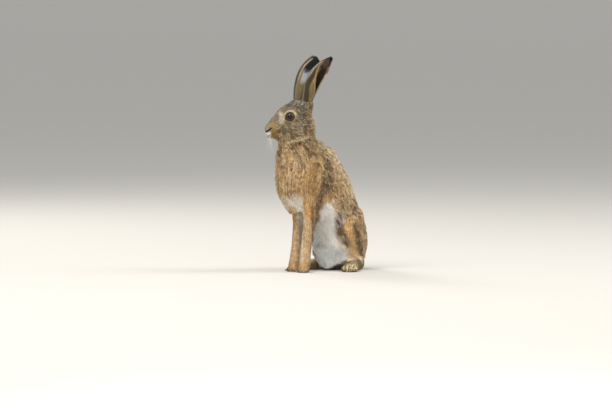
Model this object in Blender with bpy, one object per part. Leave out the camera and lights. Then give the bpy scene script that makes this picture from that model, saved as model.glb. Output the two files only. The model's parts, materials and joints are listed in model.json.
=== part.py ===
"""A young brown hare sitting upright on its haunches, life size, as a still museum model.

The hare faces -Y, its left side is +X and +Z is up. It looks away over its right shoulder,
so the trunk twists: hips turned a little to the left, chest to the right, head furthest round.

Every size below is in millimetres and MM turns it into metres. Places are measured from the
point on the ground between the two forepaws. The last step moves the whole model so that the
origin is under the middle of its bounding box.

The flesh is drawn as tubes of oval rings along each limb, which a voxel remesh runs together
into one smooth body. Thin curved cuts then part that body into its named pieces.
"""

import math

import bmesh
import bpy
import numpy as np
from mathutils import Matrix, Vector

MM = 0.001

# Clearance between solids that touch, and the grids that the flesh is run together on.
GAP = 0.3
BODY_GRID = 2.4
HEAD_GRID = 1.3
BODY_TRIANGLES = 4300
BREAST_ROWS_SHARED = 4
HEAD_TRIANGLES = 2800
RING_SIDES = 28
CUTTER_SIDES = 12

# How far each part of the animal is turned from -Y towards its own right, in degrees.
HIP_TURN = -10.0
CHEST_TURN = 14.0
HEAD_TURN = 42.0

# The head is drawn in its own frame: across to its left, back towards the nape, and up,
# from the point midway between the eyes.
HEAD_PLACE = Vector((-18.5, -9.0, 311.0))
EYE_RADIUS = 10.0
EYE_APART = 15.2
LID_OPENING = 9.0
LID_THICKNESS = 2.0

# The depth of the block that cuts the soles flat.
SOLE_CUT = 40.0


# Frames and smooth curves


def across(turn):
    """The direction of the animal's left, for a part turned by so many degrees."""
    angle = math.radians(turn)
    return Vector((math.cos(angle), -math.sin(angle), 0.0))


def backward(turn):
    """The direction from front to rear, for a part turned by so many degrees."""
    angle = math.radians(turn)
    return Vector((math.sin(angle), math.cos(angle), 0.0))


def head_point(left, back, up):
    """A place on the head, from its own frame."""
    side = across(HEAD_TURN) * left + backward(HEAD_TURN) * back
    return HEAD_PLACE + side + Vector((0.0, 0.0, up))


def head_direction(left, back, up):
    return (head_point(left, back, up) - HEAD_PLACE).normalized()


def smooth_rows(rows, steps=5):
    """Rows of numbers joined by a Catmull-Rom curve, with so many steps between each two."""
    rows = np.array(rows, float)
    ends = np.vstack([2 * rows[0] - rows[1], rows, 2 * rows[-1] - rows[-2]])
    made = []
    for a, b, c, d in zip(ends, ends[1:], ends[2:], ends[3:]):
        for t in np.arange(steps) / steps:
            line = 2 * b + (c - a) * t
            bend = (2 * a - 5 * b + 4 * c - d) * t**2 + (3 * b - a - 3 * c + d) * t**3
            made.append((line + bend) / 2)
    made.append(rows[-1])
    return np.array(made)


# Mesh makers


def mesh_object(name, points, faces):
    """An object from points in millimetres, with its faces turned outwards."""
    mesh = bpy.data.meshes.new(name)
    mesh.from_pydata([tuple(Vector(p) * MM) for p in points], [], faces)
    shape = bmesh.new()
    shape.from_mesh(mesh)
    bmesh.ops.recalc_face_normals(shape, faces=shape.faces)
    bmesh.ops.triangulate(shape, faces=[f for f in shape.faces if len(f.verts) > 4])
    shape.to_mesh(mesh)
    shape.free()
    made = bpy.data.objects.new(name, mesh)
    bpy.context.scene.collection.objects.link(made)
    return made


def rings_to_object(name, rings):
    """A closed tube through rings of equally many points, fanned shut at both ends."""
    sides = len(rings[0])
    points = [p for ring in rings for p in ring]
    faces = []
    for r in range(len(rings) - 1):
        for s in range(sides):
            n = (s + 1) % sides
            faces.append((r * sides + s, r * sides + n, (r + 1) * sides + n, (r + 1) * sides + s))
    for r, ring in ((0, rings[0]), (len(rings) - 1, rings[-1])):
        points.append(sum((Vector(p) for p in ring), Vector()) / sides)
        for s in range(sides):
            faces.append((r * sides + s, r * sides + (s + 1) % sides, len(points) - 1))
    return mesh_object(name, points, faces)


def tube(name, rows, grow=0.0, sides=RING_SIDES, steps=5, dome=(75, 50, 25)):
    """A tube of oval rings with domed ends.

    Each row is x, y, z, the turn of its left side, then its half width and its radii on
    the two sides of its path: behind and before for a limb that runs down, and above and
    below, in that order, for a trunk that runs down and back. grow widens all of them.
    """
    rows = smooth_rows(rows, steps)
    middles = [Vector(row[:3]) for row in rows]
    rings = []

    def ring(i, scale=1.0, shift=0.0):
        ahead = middles[min(i + 1, len(rows) - 1)] - middles[max(i - 1, 0)]
        ahead.normalize()
        side = across(rows[i][3])
        side = (side - ahead * side.dot(ahead)).normalized()
        behind = side.cross(ahead)
        width, rear, front = (rows[i][4:7] + grow) * scale
        middle = middles[i] + ahead * shift
        made = []
        for s in range(sides):
            angle = math.tau * s / sides
            depth = rear if math.sin(angle) > 0 else front
            made.append(middle + side * width * math.cos(angle) + behind * depth * math.sin(angle))
        return made

    def domed(i, way):
        reach = float(min(rows[i][4:7])) + grow
        for angle in np.radians(dome):
            yield ring(i, math.cos(angle), way * reach * math.sin(angle))

    rings += domed(0, -1)
    rings += [ring(i) for i in range(len(rows))]
    rings += reversed(list(domed(len(rows) - 1, 1)))
    return rings_to_object(name, rings)


def ball(name, middle, left, back, up, turn, sides=RING_SIDES, levels=11):
    """An ellipsoid with its half sizes across, front to back and up, for flesh that bulges."""
    rings = []
    for angle in np.radians(np.linspace(-75, 75, levels)):
        size = math.cos(angle)
        level = Vector(middle) + Vector((0, 0, up * math.sin(angle)))
        ring = []
        for s in range(sides):
            turned = math.tau * s / sides
            sideways = across(turn) * left * size * math.cos(turned)
            ring.append(level + sideways + backward(turn) * back * size * math.sin(turned))
        rings.append(ring)
    return rings_to_object(name, rings)


def block(name, face_middle, inward, reach, half_side=400.0):
    """A box whose one face passes through face_middle and that reaches along inward."""
    ahead = Vector(inward).normalized()
    side = ahead.orthogonal().normalized() * half_side
    other = ahead.cross(side)
    near = [Vector(face_middle) + side * i + other * j for i, j in ((1, 1), (-1, 1), (-1, -1), (1, -1))]
    far = [p + ahead * reach for p in near]
    faces = [(0, 1, 2, 3), (4, 5, 6, 7)]
    faces += [(i, (i + 1) % 4, (i + 1) % 4 + 4, i + 4) for i in range(4)]
    return mesh_object(name, near + far, faces)


# Mesh tools


def drop(*objects):
    for done in objects:
        mesh = done.data
        bpy.data.objects.remove(done)
        bpy.data.meshes.remove(mesh)


def applied(target):
    """target with its modifiers applied."""
    bpy.context.view_layer.update()
    graph = bpy.context.evaluated_depsgraph_get()
    made = bpy.data.meshes.new_from_object(target.evaluated_get(graph))
    old = target.data
    target.modifiers.clear()
    target.data = made
    bpy.data.meshes.remove(old)
    return target


def largest_surface(target):
    """Keeps only the closed surface of target that encloses most, and makes all its faces triangles."""
    shape = bmesh.new()
    shape.from_mesh(target.data)
    bmesh.ops.triangulate(shape, faces=shape.faces)
    left = set(shape.verts)
    surfaces = []
    while left:
        found = {left.pop()}
        edge = set(found)
        while edge:
            edge = {e.other_vert(v) for v in edge for e in v.link_edges} - found
            found |= edge
        left -= found
        surfaces.append(found)

    def volume(surface):
        faces = {f for v in surface for f in v.link_faces}
        return sum(f.verts[0].co.dot(f.verts[1].co.cross(f.verts[2].co)) for f in faces)

    surfaces.sort(key=volume)
    scraps = [v for surface in surfaces[:-1] for v in surface]
    bmesh.ops.delete(shape, geom=scraps, context="VERTS")
    shape.to_mesh(target.data)
    shape.free()
    return target


def combined(target, other, operation, keep_other=False):
    """target after one Boolean with other."""
    cut = target.modifiers.new(operation.title(), "BOOLEAN")
    cut.operation = operation
    cut.solver = "MANIFOLD"
    cut.object = other
    applied(target)
    if not keep_other:
        drop(other)
    return largest_surface(target)


def copied(source, name):
    made = bpy.data.objects.new(name, source.data.copy())
    bpy.context.scene.collection.objects.link(made)
    return made


def run_together(name, pieces, grid, smoothing, triangles):
    """One smooth closed body from overlapping pieces, thinned to about so many triangles."""
    faces = []
    points = []
    for piece in pieces:
        first = len(points)
        points += [v.co / MM for v in piece.data.vertices]
        faces += [tuple(first + i for i in face.vertices) for face in piece.data.polygons]
    drop(*pieces)
    body = mesh_object(name, points, faces)
    grown = body.modifiers.new("Run together", "REMESH")
    grown.mode = "VOXEL"
    grown.voxel_size = grid * MM
    applied(body)
    softened = body.modifiers.new("Soften", "SMOOTH")
    softened.factor = 0.5
    softened.iterations = smoothing
    applied(body)
    body.data.calc_loop_triangles()
    thinned = body.modifiers.new("Thin", "DECIMATE")
    thinned.ratio = triangles / len(body.data.loop_triangles)
    applied(body)
    return largest_surface(body)


def part_off(body, name, region):
    """Cuts the piece that lies in region off body. region(grow) makes the cutter, grown by so much."""
    piece = combined(copied(body, name), region(-GAP / 2), "INTERSECT")
    combined(body, region(GAP / 2), "DIFFERENCE")
    return piece


def plane_region(middle, inward, reach, half_side):
    """A region bounded by a flat cut, as part_off takes it."""
    ahead = Vector(inward).normalized()
    return lambda grow: block("cutter", Vector(middle) - ahead * grow, ahead, reach, half_side)


def widened(rows, margin):
    """Rows of a tube with all three radii larger by margin."""
    return [row[:4] + tuple(radius + margin for radius in row[4:]) for row in rows]


def tube_region(rows):
    """A region bounded by a rounded cut, as part_off takes it."""
    return lambda grow: tube("cutter", rows, grow, CUTTER_SIDES, 1, (45,))


# Trunk: the spine's path from the base of the neck to the seat. Radii are width, back, belly.
TRUNK = [
    (4, 17, 235, 18, 26, 43, 38),
    (6, 24, 220, 16, 36, 54, 50),
    (8, 34, 196, 14, 43, 58, 58),
    (9, 56, 160, 9, 47, 62, 60),
    (8, 80, 122, 2, 51, 56.5, 46),
    (4, 94, 84, -5, 53, 56, 41),
    (3, 101, 56, -9, 54, 57, 42),
    (3, 104, 40, -10, 47, 48, 36),
]
BREAST = [
    (-4, -4, 252, 25, 27, 30, 34),
    (-5, -8, 232, 21, 31, 33, 39.5),
    (-5, -13, 205, 18, 35, 34, 35.5),
    (-4, -14, 176, 15, 34, 34, 35),
    (-2, -8, 153, 13, 28, 28, 32),
    (-2, -3, 143, 12, 23, 24, 30),
]
NECK = [
    (-3, 3, 303, 42, 20, 30, 26),
    (-5, 0, 286, 38, 22, 33, 38),
    (-4, 1, 266, 31, 25, 34, 44),
    (0, 6, 246, 24, 28, 37, 49),
    (5, 17, 228, 18, 32, 40, 55),
]
BELLY_TUFT = [
    (6, 84, 78, -8, 30, 26, 22),
    (-2, 76, 46, -8, 29, 24, 24),
    (0, 82, 22, -8, 20, 18, 20),
]

# Hind leg, from a point on the ground under the hips, in the frame of the hips.
HIP_FOOT = (3.0, 105.0)
HAUNCH = [
    (21, 7, 118, 0, 21, 18, 26),
    (31, 1, 104, 0, 25, 26, 36),
    (40, -8, 104, 0, 21, 24, 28),
    (45, -19, 102, 0, 15, 17, 18),
]
# The fold of the thigh in front of the knee, down to the groin.
INNER_THIGH = [
    (28, -6, 114, 0, 16, 18, 17),
    (27, -16, 94, 0, 13.5, 16, 14),
    (25, -15, 72, 0, 12.5, 14, 13),
    (23, -9, 58, 0, 11, 12, 12),
]
BUTTOCK = [
    (25, 6, 104, 0, 26, 28, 32),
    (28, 14, 80, 0, 23, 30, 27),
    (27, 27, 52, 0, 16, 33.5, 20),
    (24, 34, 28, 0, 13.5, 24, 15),
]
SHANK = [
    (46, -26, 101, 10, 13.5, 15, 14),
    (45, -25, 79, 15, 13.5, 14.5, 14),
    (39, -9, 55, 20, 10.5, 11, 11),
    (31, 13, 35, 24, 9.5, 10, 10),
    (24.5, 35, 18, 26, 10, 10, 10),
]

# Foreleg, from the point on the ground between the forepaws, in the frame of the chest.
UPPER_ARM = [
    (22, 36, 226, 0, 10, 20, 18),
    (29, 22, 200, 0, 16, 30, 29),
    (31, 12, 172, 0, 17.5, 32, 30),
    (27, 10, 147, 0, 15.5, 25, 20),
    (22, 10, 124, 0, 12.5, 16, 13.5),
]
FOREARM = [
    (22, 10, 132, 0, 13, 17, 14),
    (20, 8, 96, 0, 10.4, 12.5, 10.5),
    (18.5, 4, 60, 0, 9.8, 12.5, 9.8),
    (18.5, 1, 32, 0, 11.2, 12, 10.5),
    (18.8, -1, 9, 0, 13.4, 12.5, 12.5),
]
FOREPAW_TOES = (-10.8, -3.7, 3.7, 10.8)
FOREPAW_REACH = (8.0, 11.5, 12.0, 9.0)
FORE_TOE_RADIUS = 5.2
# How much closer together the roots of the toes are than their tips.
TOE_PINCH = 0.82
WRIST_HEIGHT = 24.0
ELBOW_HEIGHT = 128.0

# Hind foot, from its heel: half widths along its length, then the toes.
FOOT_SPLAY = -23.0
FOOT_HEEL = (24.0, 39.0)
FOOT_STATIONS = (
    (-4, 12, 11.0, 15, 14),
    (30, 11, 11.5, 14, 14),
    (60, 9.5, 14.5, 12.5, 12),
    (82, 8, 15.5, 11, 9),
)
HIND_TOES = (-13.2, -4.6, 4.6, 13.2)
HIND_REACH = (90.0, 99.0, 100.0, 92.0)
HIND_TOE_RADIUS = 5.8
HOCK_HEIGHT = 25.0

CLAW_LENGTH = 7.0
CLAW_RADIUS = 1.5
CLAW_LIFT = 1.6
CLAW_DROOP = 2.6
CLAW_SIDES = 6

TAIL = [
    (-3, 146, 58, -10, 12, 12, 12),
    (-7, 160, 40, -25, 15, 14, 15),
    (-15, 169, 24, -50, 16, 15, 17),
    (-26, 174, 15, -70, 15, 14, 17),
    (-36, 174, 12, -85, 11, 10, 13),
]


def toe(root, tip, radius):
    """One toe, as a short tube from root to tip, a little arched."""
    middle = root.lerp(tip, 0.6) + Vector((0, 0, radius * 0.35))
    turn = math.degrees(math.atan2(root.x - tip.x, root.y - tip.y))
    shares = ((root, 1.0), (middle, 1.05), (tip, 0.82))
    rows = [tuple(place) + (turn,) + (radius * share,) * 3 for place, share in shares]
    return tube("toe", rows, sides=14, steps=3)


def fore_toes(side):
    """Root, tip and way of pointing of each toe of a forepaw."""
    wrist = FOREARM[-1][0] * side
    ahead = -backward(CHEST_TURN)
    made = []
    for offset, reach in zip(FOREPAW_TOES, FOREPAW_REACH):
        root = across(CHEST_TURN) * (wrist + side * offset * TOE_PINCH)
        tip = across(CHEST_TURN) * (wrist + side * offset) + ahead * reach
        made.append((root + Vector((0, 0, 5.5)), tip + Vector((0, 0, 2.8)), FORE_TOE_RADIUS))
    return made


def hind_frame(side):
    """Heel, direction of the toes, direction across and turn of a hind foot, on the ground."""
    turn = HIP_TURN + side * FOOT_SPLAY
    heel = Vector(HIP_FOOT + (0.0,)) + across(HIP_TURN) * side * FOOT_HEEL[0]
    heel += backward(HIP_TURN) * FOOT_HEEL[1]
    return heel, -backward(turn), across(turn), turn


def hind_toes(side):
    heel, ahead, sideways, turn = hind_frame(side)
    made = []
    for offset, reach in zip(HIND_TOES, HIND_REACH):
        root = heel + ahead * 72 + sideways * side * offset * TOE_PINCH + Vector((0, 0, 7.0))
        tip = heel + ahead * reach + sideways * side * offset + Vector((0, 0, 4.0))
        made.append((root, tip, HIND_TOE_RADIUS))
    return made


def on_side(rows, side, turn, foot):
    """Rows of a limb for one side of the body, side being 1 for the left and -1 for the right."""
    made = []
    for row in rows:
        spot = Vector((foot[0], foot[1], 0.0)) + across(turn) * row[0] * side + backward(turn) * row[1]
        made.append((spot.x, spot.y, row[2], side * row[3] + turn) + tuple(row[4:]))
    return made


def foreleg_pieces(side):
    pieces = [tube("arm", on_side(rows, side, CHEST_TURN, (0, 0))) for rows in (UPPER_ARM, FOREARM)]
    return pieces + [toe(*spec) for spec in fore_toes(side)]


def shank_rows(side):
    return on_side(SHANK, side, HIP_TURN, HIP_FOOT)


def hind_leg_pieces(side):
    limb = (HAUNCH, INNER_THIGH, BUTTOCK, SHANK)
    pieces = [tube("leg", on_side(rows, side, HIP_TURN, HIP_FOOT)) for rows in limb]
    heel, ahead, sideways, turn = hind_frame(side)
    rows = []
    for along, height, width, below, above in FOOT_STATIONS:
        spot = heel + ahead * along
        rows.append((spot.x, spot.y, height, turn, width, below, above))
    pieces.append(tube("foot", rows))
    return pieces + [toe(*spec) for spec in hind_toes(side)]


def claw(name, tip, ahead, grow=0.0):
    """A claw from inside the end of a toe, curving down a little to its point."""
    rings = []
    sideways = ahead.cross(Vector((0, 0, 1))).normalized()
    upright = sideways.cross(ahead)
    start = tip + ahead * CLAW_RADIUS + Vector((0, 0, CLAW_LIFT))
    for share, size in ((0.0, 1.0), (0.5, 0.85), (0.95, 0.25)):
        middle = start + ahead * CLAW_LENGTH * share - Vector((0, 0, CLAW_DROOP * share**2))
        radius = CLAW_RADIUS * size + grow
        if share == 0.0:
            middle = middle - ahead * grow
        ring = []
        for s in range(CLAW_SIDES):
            angle = math.tau * s / CLAW_SIDES
            spoke = sideways * math.cos(angle) + upright * math.sin(angle) * 1.15
            ring.append(middle + spoke * radius)
        rings.append(ring)
    return rings_to_object(name, rings)


# Head: upright slices from the nose back. Each is back, top, bottom, half width and the
# height of its widest place, as a share of the way up.
HEAD_SLICES = [
    (-50.5, -21.5, -30, 5.5, 0.5),
    (-48.5, -17.5, -35.5, 8.2, 0.5),
    (-44.0, -11.5, -42.5, 10.5, 0.45),
    (-38.0, -4, -46.5, 12.2, 0.42),
    (-31.0, 4.5, -48.5, 13.5, 0.42),
    (-24.0, 13.5, -49.5, 15, 0.45),
    (-16.0, 20.5, -49, 17.5, 0.5),
    (-8.0, 25.3, -49, 20, 0.52),
    (0.0, 27.3, -48.5, 21.5, 0.52),
    (10.0, 29.5, -46, 22.5, 0.5),
    (20.0, 28.5, -42, 22.5, 0.5),
    (30.0, 24, -37, 21, 0.5),
    (38.0, 15, -30, 17, 0.5),
    (43.0, 4, -18, 11, 0.5),
]
# The cut between head and neck, from under the occiput to the throat, in the head's frame.
NAPE = (41.0, -6.0)
THROAT = (4.0, -54.0)


def head_slices(slices):
    """The skull and its flesh, as egg-shaped upright rings: narrow above and at the jaw."""
    rings = []
    for back, top, bottom, width, widest in smooth_rows(slices, 4):
        level = bottom + (top - bottom) * widest
        ring = []
        for s in range(RING_SIDES):
            angle = math.tau * s / RING_SIDES
            rise = math.sin(angle)
            height = (top - level if rise > 0 else level - bottom) * rise
            squeeze = 1 - 0.16 * max(0.0, -rise) ** 2
            ring.append(head_point(width * math.cos(angle) * squeeze, back, level + height))
        rings.append(ring)
    return rings_to_object("skull", rings)


def head_ball(place, sizes, side=1):
    return ball("flesh", head_point(side * place[0], place[1], place[2]), *sizes, HEAD_TURN)


# Ears: a leaf that is rolled into a tube at its root and opens towards its tip.
EAR_ROOT_RADIUS = 10.6
EAR_PATHS = {
    1: [
        (13.0, 33.5, 31),
        (15.0, 36.5, 44),
        (17.5, 40, 57),
        (20, 43.5, 70),
        (22.5, 49, 83),
        (25, 56, 95),
        (27, 64.5, 105),
        (28.5, 74, 113),
        (29.5, 82, 118),
    ],
    -1: [
        (-13.0, 18.5, 31),
        (-15.0, 20, 45),
        (-19, 24, 62),
        (-22, 28, 77),
        (-25, 34, 92),
        (-27, 41, 102),
        (-28, 49.5, 111),
        (-28.5, 56.5, 116),
    ],
}
# How each ear's opening faces at its root and at its tip, to the left and back.
EAR_OPENS = {1: ((0.24, 0.97), (0.62, 0.78)), -1: ((-0.62, 0.78), (-0.62, 0.78))}
# Along the ear: share of its length, half the width of the leaf if it were flat, and half
# the angle that it is rolled through. The left ear is folded to a narrower tip.
EAR_BASE_LEAF = [
    (0.0, 29.0, 163.0),
    (0.12, 31.0, 148.0),
    (0.28, 34.0, 114.0),
    (0.48, 34.0, 90.0),
]
EAR_TIP_LEAVES = {
    1: [(0.66, 28.0, 76.0), (0.80, 17.0, 72.0), (0.90, 9.8, 66.0), (0.965, 5.2, 55.0), (1.0, 2.4, 35.0)],
    -1: [(0.66, 30.0, 72.0), (0.80, 24.0, 60.0), (0.90, 18.0, 50.0), (0.965, 11.5, 42.0), (1.0, 4.5, 30.0)],
}
EAR_THICK = 2.0
EAR_EDGE_THICK = 1.2
EAR_ROWS = 14
EAR_COLUMNS = 10


def ear_path(side):
    return [head_point(*p) for p in EAR_PATHS[side]]


def ear_root(side):
    """The middle of the flat between head and ear, and the way that the ear leaves it."""
    path = ear_path(side)
    return path[0], (path[1] - path[0]).normalized()


def ear_butt(side):
    """The fleshy root of an ear, past the flat that the ear stands on."""
    middle, ahead = ear_root(side)
    spots = ((-24, 13.0), (-12, 13.0), (-4, 12.0), (3, EAR_ROOT_RADIUS))
    rows = [tuple(middle + ahead * s) + (HEAD_TURN, r, r * 1.1, r * 1.1) for s, r in spots]
    return tube("butt", rows)


def ear_leaf(side):
    """The two faces of an ear's leaf: rows of points up it and columns across it."""
    path = smooth_rows([tuple(p) for p in ear_path(side)], 8)
    steps = np.linalg.norm(np.diff(path, axis=0), axis=1)
    along = np.concatenate([[0.0], np.cumsum(steps)]) / steps.sum()
    leaf = smooth_rows(EAR_BASE_LEAF + EAR_TIP_LEAVES[side], 6)
    low, high = (head_direction(*opening, 0.0) for opening in EAR_OPENS[side])

    def spot_at(share):
        return Vector([np.interp(share, along, path[:, k]) for k in range(3)])

    outer = []
    inner = []
    for share in np.linspace(0.0, 1.0, EAR_ROWS) ** 0.92:
        ahead = (spot_at(min(share + 0.06, 1)) - spot_at(max(share - 0.06, 0))).normalized()
        opens = low.lerp(high, share)
        mouth = (opens - ahead * opens.dot(ahead)).normalized()
        sideways = ahead.cross(mouth)
        half_width = np.interp(share, leaf[:, 0], leaf[:, 1])
        roll = math.radians(np.interp(share, leaf[:, 0], leaf[:, 2]))
        radius = half_width / roll
        # The path runs up the middle of what the rolled leaf spans from front to rear.
        centre = spot_at(share) + mouth * radius * (1 + math.cos(roll)) / 2
        for column in np.linspace(-1.0, 1.0, EAR_COLUMNS):
            angle = roll * column
            out = sideways * math.sin(angle) - mouth * math.cos(angle)
            middle = centre + out * radius
            thick = EAR_EDGE_THICK + (EAR_THICK - EAR_EDGE_THICK) * (1 - column**4) * (1 - share**3)
            outer.append(middle + out * thick / 2)
            inner.append(middle - out * thick / 2)
    return outer, inner


def ear(side, name):
    """An ear with its solid root, standing on its flat."""
    outer, inner = ear_leaf(side)
    count = EAR_ROWS * EAR_COLUMNS
    faces = []
    for r in range(EAR_ROWS - 1):
        for c in range(EAR_COLUMNS - 1):
            a, b = r * EAR_COLUMNS + c, r * EAR_COLUMNS + c + 1
            d, e = a + EAR_COLUMNS, b + EAR_COLUMNS
            faces += [(a, b, e), (a, e, d)]
            faces += [(count + a, count + e, count + b), (count + a, count + d, count + e)]
    rim = list(range(EAR_COLUMNS))
    rim += [r * EAR_COLUMNS + EAR_COLUMNS - 1 for r in range(1, EAR_ROWS)]
    rim += [(EAR_ROWS - 1) * EAR_COLUMNS + c for c in range(EAR_COLUMNS - 2, -1, -1)]
    rim += [r * EAR_COLUMNS for r in range(EAR_ROWS - 2, 0, -1)]
    for i, a in enumerate(rim):
        b = rim[(i + 1) % len(rim)]
        faces += [(a, b, count + b), (a, count + b, count + a)]
    leaf = mesh_object(name, outer + inner, faces)
    middle, ahead = ear_root(side)
    rows = []
    for along, radius in ((-12, 10.2), (1, 10.2), (9, 8.5)):
        rows.append(tuple(middle + ahead * along) + (HEAD_TURN, radius, radius, radius))
    combined(leaf, tube("root", rows, sides=16, steps=2), "UNION")
    below = block("below", middle + ahead * GAP / 2, -ahead, 60, 26)
    return combined(leaf, below, "DIFFERENCE")


# Eyes: they look out to the side, a little forward and up.
EYE_WAY = (1.0, -0.16, 0.1)


def eye_axis(side):
    return head_direction(side * EYE_WAY[0], EYE_WAY[1], EYE_WAY[2])


def eye_centre(side):
    return head_point(side * EYE_APART, 0.0, 0.0)


def turned_rings(name, centre, axis, profile, sides, tall=1.0):
    """A closed surface turned about an axis. Each of profile is a place along it and a radius."""
    upright = (Vector((0, 0, 1)) - axis * axis.z).normalized()
    ahead = upright.cross(axis)
    rings = []
    for along, radius in profile:
        ring = []
        for s in range(sides):
            angle = math.tau * s / sides
            out = ahead * math.cos(angle) + upright * math.sin(angle) * tall
            ring.append(centre + axis * along + out * radius)
        rings.append(ring)
    return rings_to_object(name, rings)


def eyeball(name, side, grow=0.0):
    """The eyeball, finest over the part that shows."""
    radius = EYE_RADIUS + grow
    angles = np.radians((12, 26, 40, 54, 68, 82, 100, 125, 155))
    profile = [(radius * math.cos(a), radius * math.sin(a)) for a in angles]
    return turned_rings(name, eye_centre(side), eye_axis(side), profile, 20)


def lids(side):
    """The round of flesh that the lids are cut from."""
    radius = EYE_RADIUS + LID_THICKNESS
    angles = np.radians((10, 25, 40, 55, 70, 90, 120, 150))
    profile = [(radius * math.cos(a), radius * math.sin(a)) for a in angles]
    return turned_rings("lids", eye_centre(side), eye_axis(side), profile, 24)


# Flesh that rounds out each side of the skull: its place, then its half sizes across, front
# to back and up. They are the brow, the cheek, the whisker pad and the wing of the nose.
HEAD_FLESH = [
    ((14.0, 2, 3), (8.0, 17.0, 15.0)),
    ((16.0, 13, -20), (10.0, 19.0, 17.0)),
    ((6.2, -41, -32), (7.4, 9.5, 9.3)),
    ((5.0, -44, -24), (5.0, 6.5, 6.0)),
]
CHIN = ((0, -36, -45), (7.5, 9.0, 4.6))
# The swelling before the root of an ear, which lies further back on the left.
EAR_SWELLINGS = {1: (8.0, 24, 22), -1: (8.0, 12, 22)}
EAR_SWELLING_SIZES = (12.0, 16.0, 11.0)


def head_pieces():
    pieces = [head_slices(HEAD_SLICES), head_ball(*CHIN)]
    for side in (-1, 1):
        pieces += [lids(side), ear_butt(side), head_ball(EAR_SWELLINGS[side], EAR_SWELLING_SIZES, side)]
        pieces += [head_ball(place, sizes, side) for place, sizes in HEAD_FLESH]
    return pieces


# The slit of the mouth on one side, as back and up, with the depth that it is cut to.
MOUTH = [(-47.0, -37.5), (-43.5, -41.5), (-38, -43), (-31, -42.5), (-25, -41)]
MOUTH_SLIT = 1.1
MOUTH_INSIDE = 4.0
MOUTH_OUTSIDE = 20.0
SPLIT = [(-52, -27), (-50.5, -32), (-47.5, -37.5)]
SPLIT_SIZES = (0.7, 1.5, 1.5)
NOSTRIL_RADIUS = 1.3
NOSTRIL = [(4.5, -49.6, -31), (8.5, -46.5, -29), (11.6, -42, -26.5), (13.2, -38.5, -25)]


def mouth_cutter(side):
    """A thin curved wedge along the line of the mouth."""
    def edge(left):
        upper = [head_point(side * left, back, up + MOUTH_SLIT / 2) for back, up in MOUTH]
        return upper + [head_point(side * left, back, up - MOUTH_SLIT / 2) for back, up in reversed(MOUTH)]
    return rings_to_object("mouth", [edge(MOUTH_INSIDE), edge(MOUTH_OUTSIDE)])


def face_cuts(head):
    """Cuts sockets, lids, nostrils, the split of the lip and the mouth into the head."""
    for side in (-1, 1):
        opening = ((EYE_RADIUS * 0.2, LID_OPENING * 0.86), (EYE_RADIUS + 5, LID_OPENING * 1.22))
        hole = turned_rings("opening", eye_centre(side), eye_axis(side), opening, 24, 0.94)
        combined(head, hole, "DIFFERENCE")
        combined(head, eyeball("socket", side, GAP), "DIFFERENCE")
        spots = [tuple(head_point(side * left, back, up)) for left, back, up in NOSTRIL]
        slit = [spot + (HEAD_TURN,) + (NOSTRIL_RADIUS,) * 3 for spot in spots]
        combined(head, tube("nostril", slit, sides=10, steps=2), "DIFFERENCE")
        combined(head, mouth_cutter(side), "DIFFERENCE")
    split = [tuple(head_point(0, b, c)) + (HEAD_TURN,) + SPLIT_SIZES for b, c in SPLIT]
    return combined(head, tube("split", split, sides=10, steps=2), "DIFFERENCE")


def finish(target, name, colour, roughness):
    made = bpy.data.materials.new(name)
    made.use_nodes = True
    shader = made.node_tree.nodes["Principled BSDF"]
    shader.inputs["Base Color"].default_value = (*colour, 1.0)
    shader.inputs["Roughness"].default_value = roughness
    made.diffuse_color = (*colour, 1.0)
    target.data.materials.clear()
    target.data.materials.append(made)
    for face in target.data.polygons:
        face.use_smooth = True


def box_region(low, high, turn, foot):
    """A region from low to high in a turned frame, as part_off takes it."""
    def make(grow):
        corners = []
        for up in (low[2] - grow, high[2] + grow):
            for left, back in ((low[0], low[1]), (high[0], low[1]), (high[0], high[1]), (low[0], high[1])):
                left += grow if left == high[0] else -grow
                back += grow if back == high[1] else -grow
                spot = Vector((foot[0], foot[1], up)) + across(turn) * left + backward(turn) * back
                corners.append(spot)
        return rings_to_object("cutter", [corners[:4], corners[4:]])
    return make


def ball_region(middle, sizes, turn):
    return lambda grow: ball("cutter", middle, *(s + grow for s in sizes), turn, CUTTER_SIDES, 6)


# Where the body is parted: how far each region reaches, in the frame of the limb it takes.
LEG_INSIDE = 0.3
LEG_OUTSIDE = 60.0
LEG_BEFORE = -60.0
LEG_BEHIND = 27.0
BELOW_GROUND = -9.0
FOOT_BEFORE = -130.0
FOOT_BEHIND = 15.0
FOOT_HALF_WIDTH = 26.0
SHANK_MARGIN = 2.5
TAIL_PLACE = (-19, 172, 24)
TAIL_REGION = (38, 26, 38)
TAIL_REGION_TURN = 25.0
THIGH_PLACE = (47, 4, 92)
THIGH_REGION = (30, 56, 52)
NECK_PLANE = (2, 14, 242)
NECK_WAY = (-0.25, -0.42, 0.87)
CUT_DEPTH = 200.0
CUT_WIDTH = 150.0
EAR_CUT_DEPTH = 40.0
EAR_CUT_WIDTH = 14.0

COAT = (0.36, 0.22, 0.11)
PALE_COAT = (0.62, 0.48, 0.32)
EAR_COAT = (0.30, 0.24, 0.18)
EYE_GLASS = (0.06, 0.025, 0.012)
HORN = (0.10, 0.08, 0.06)


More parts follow.
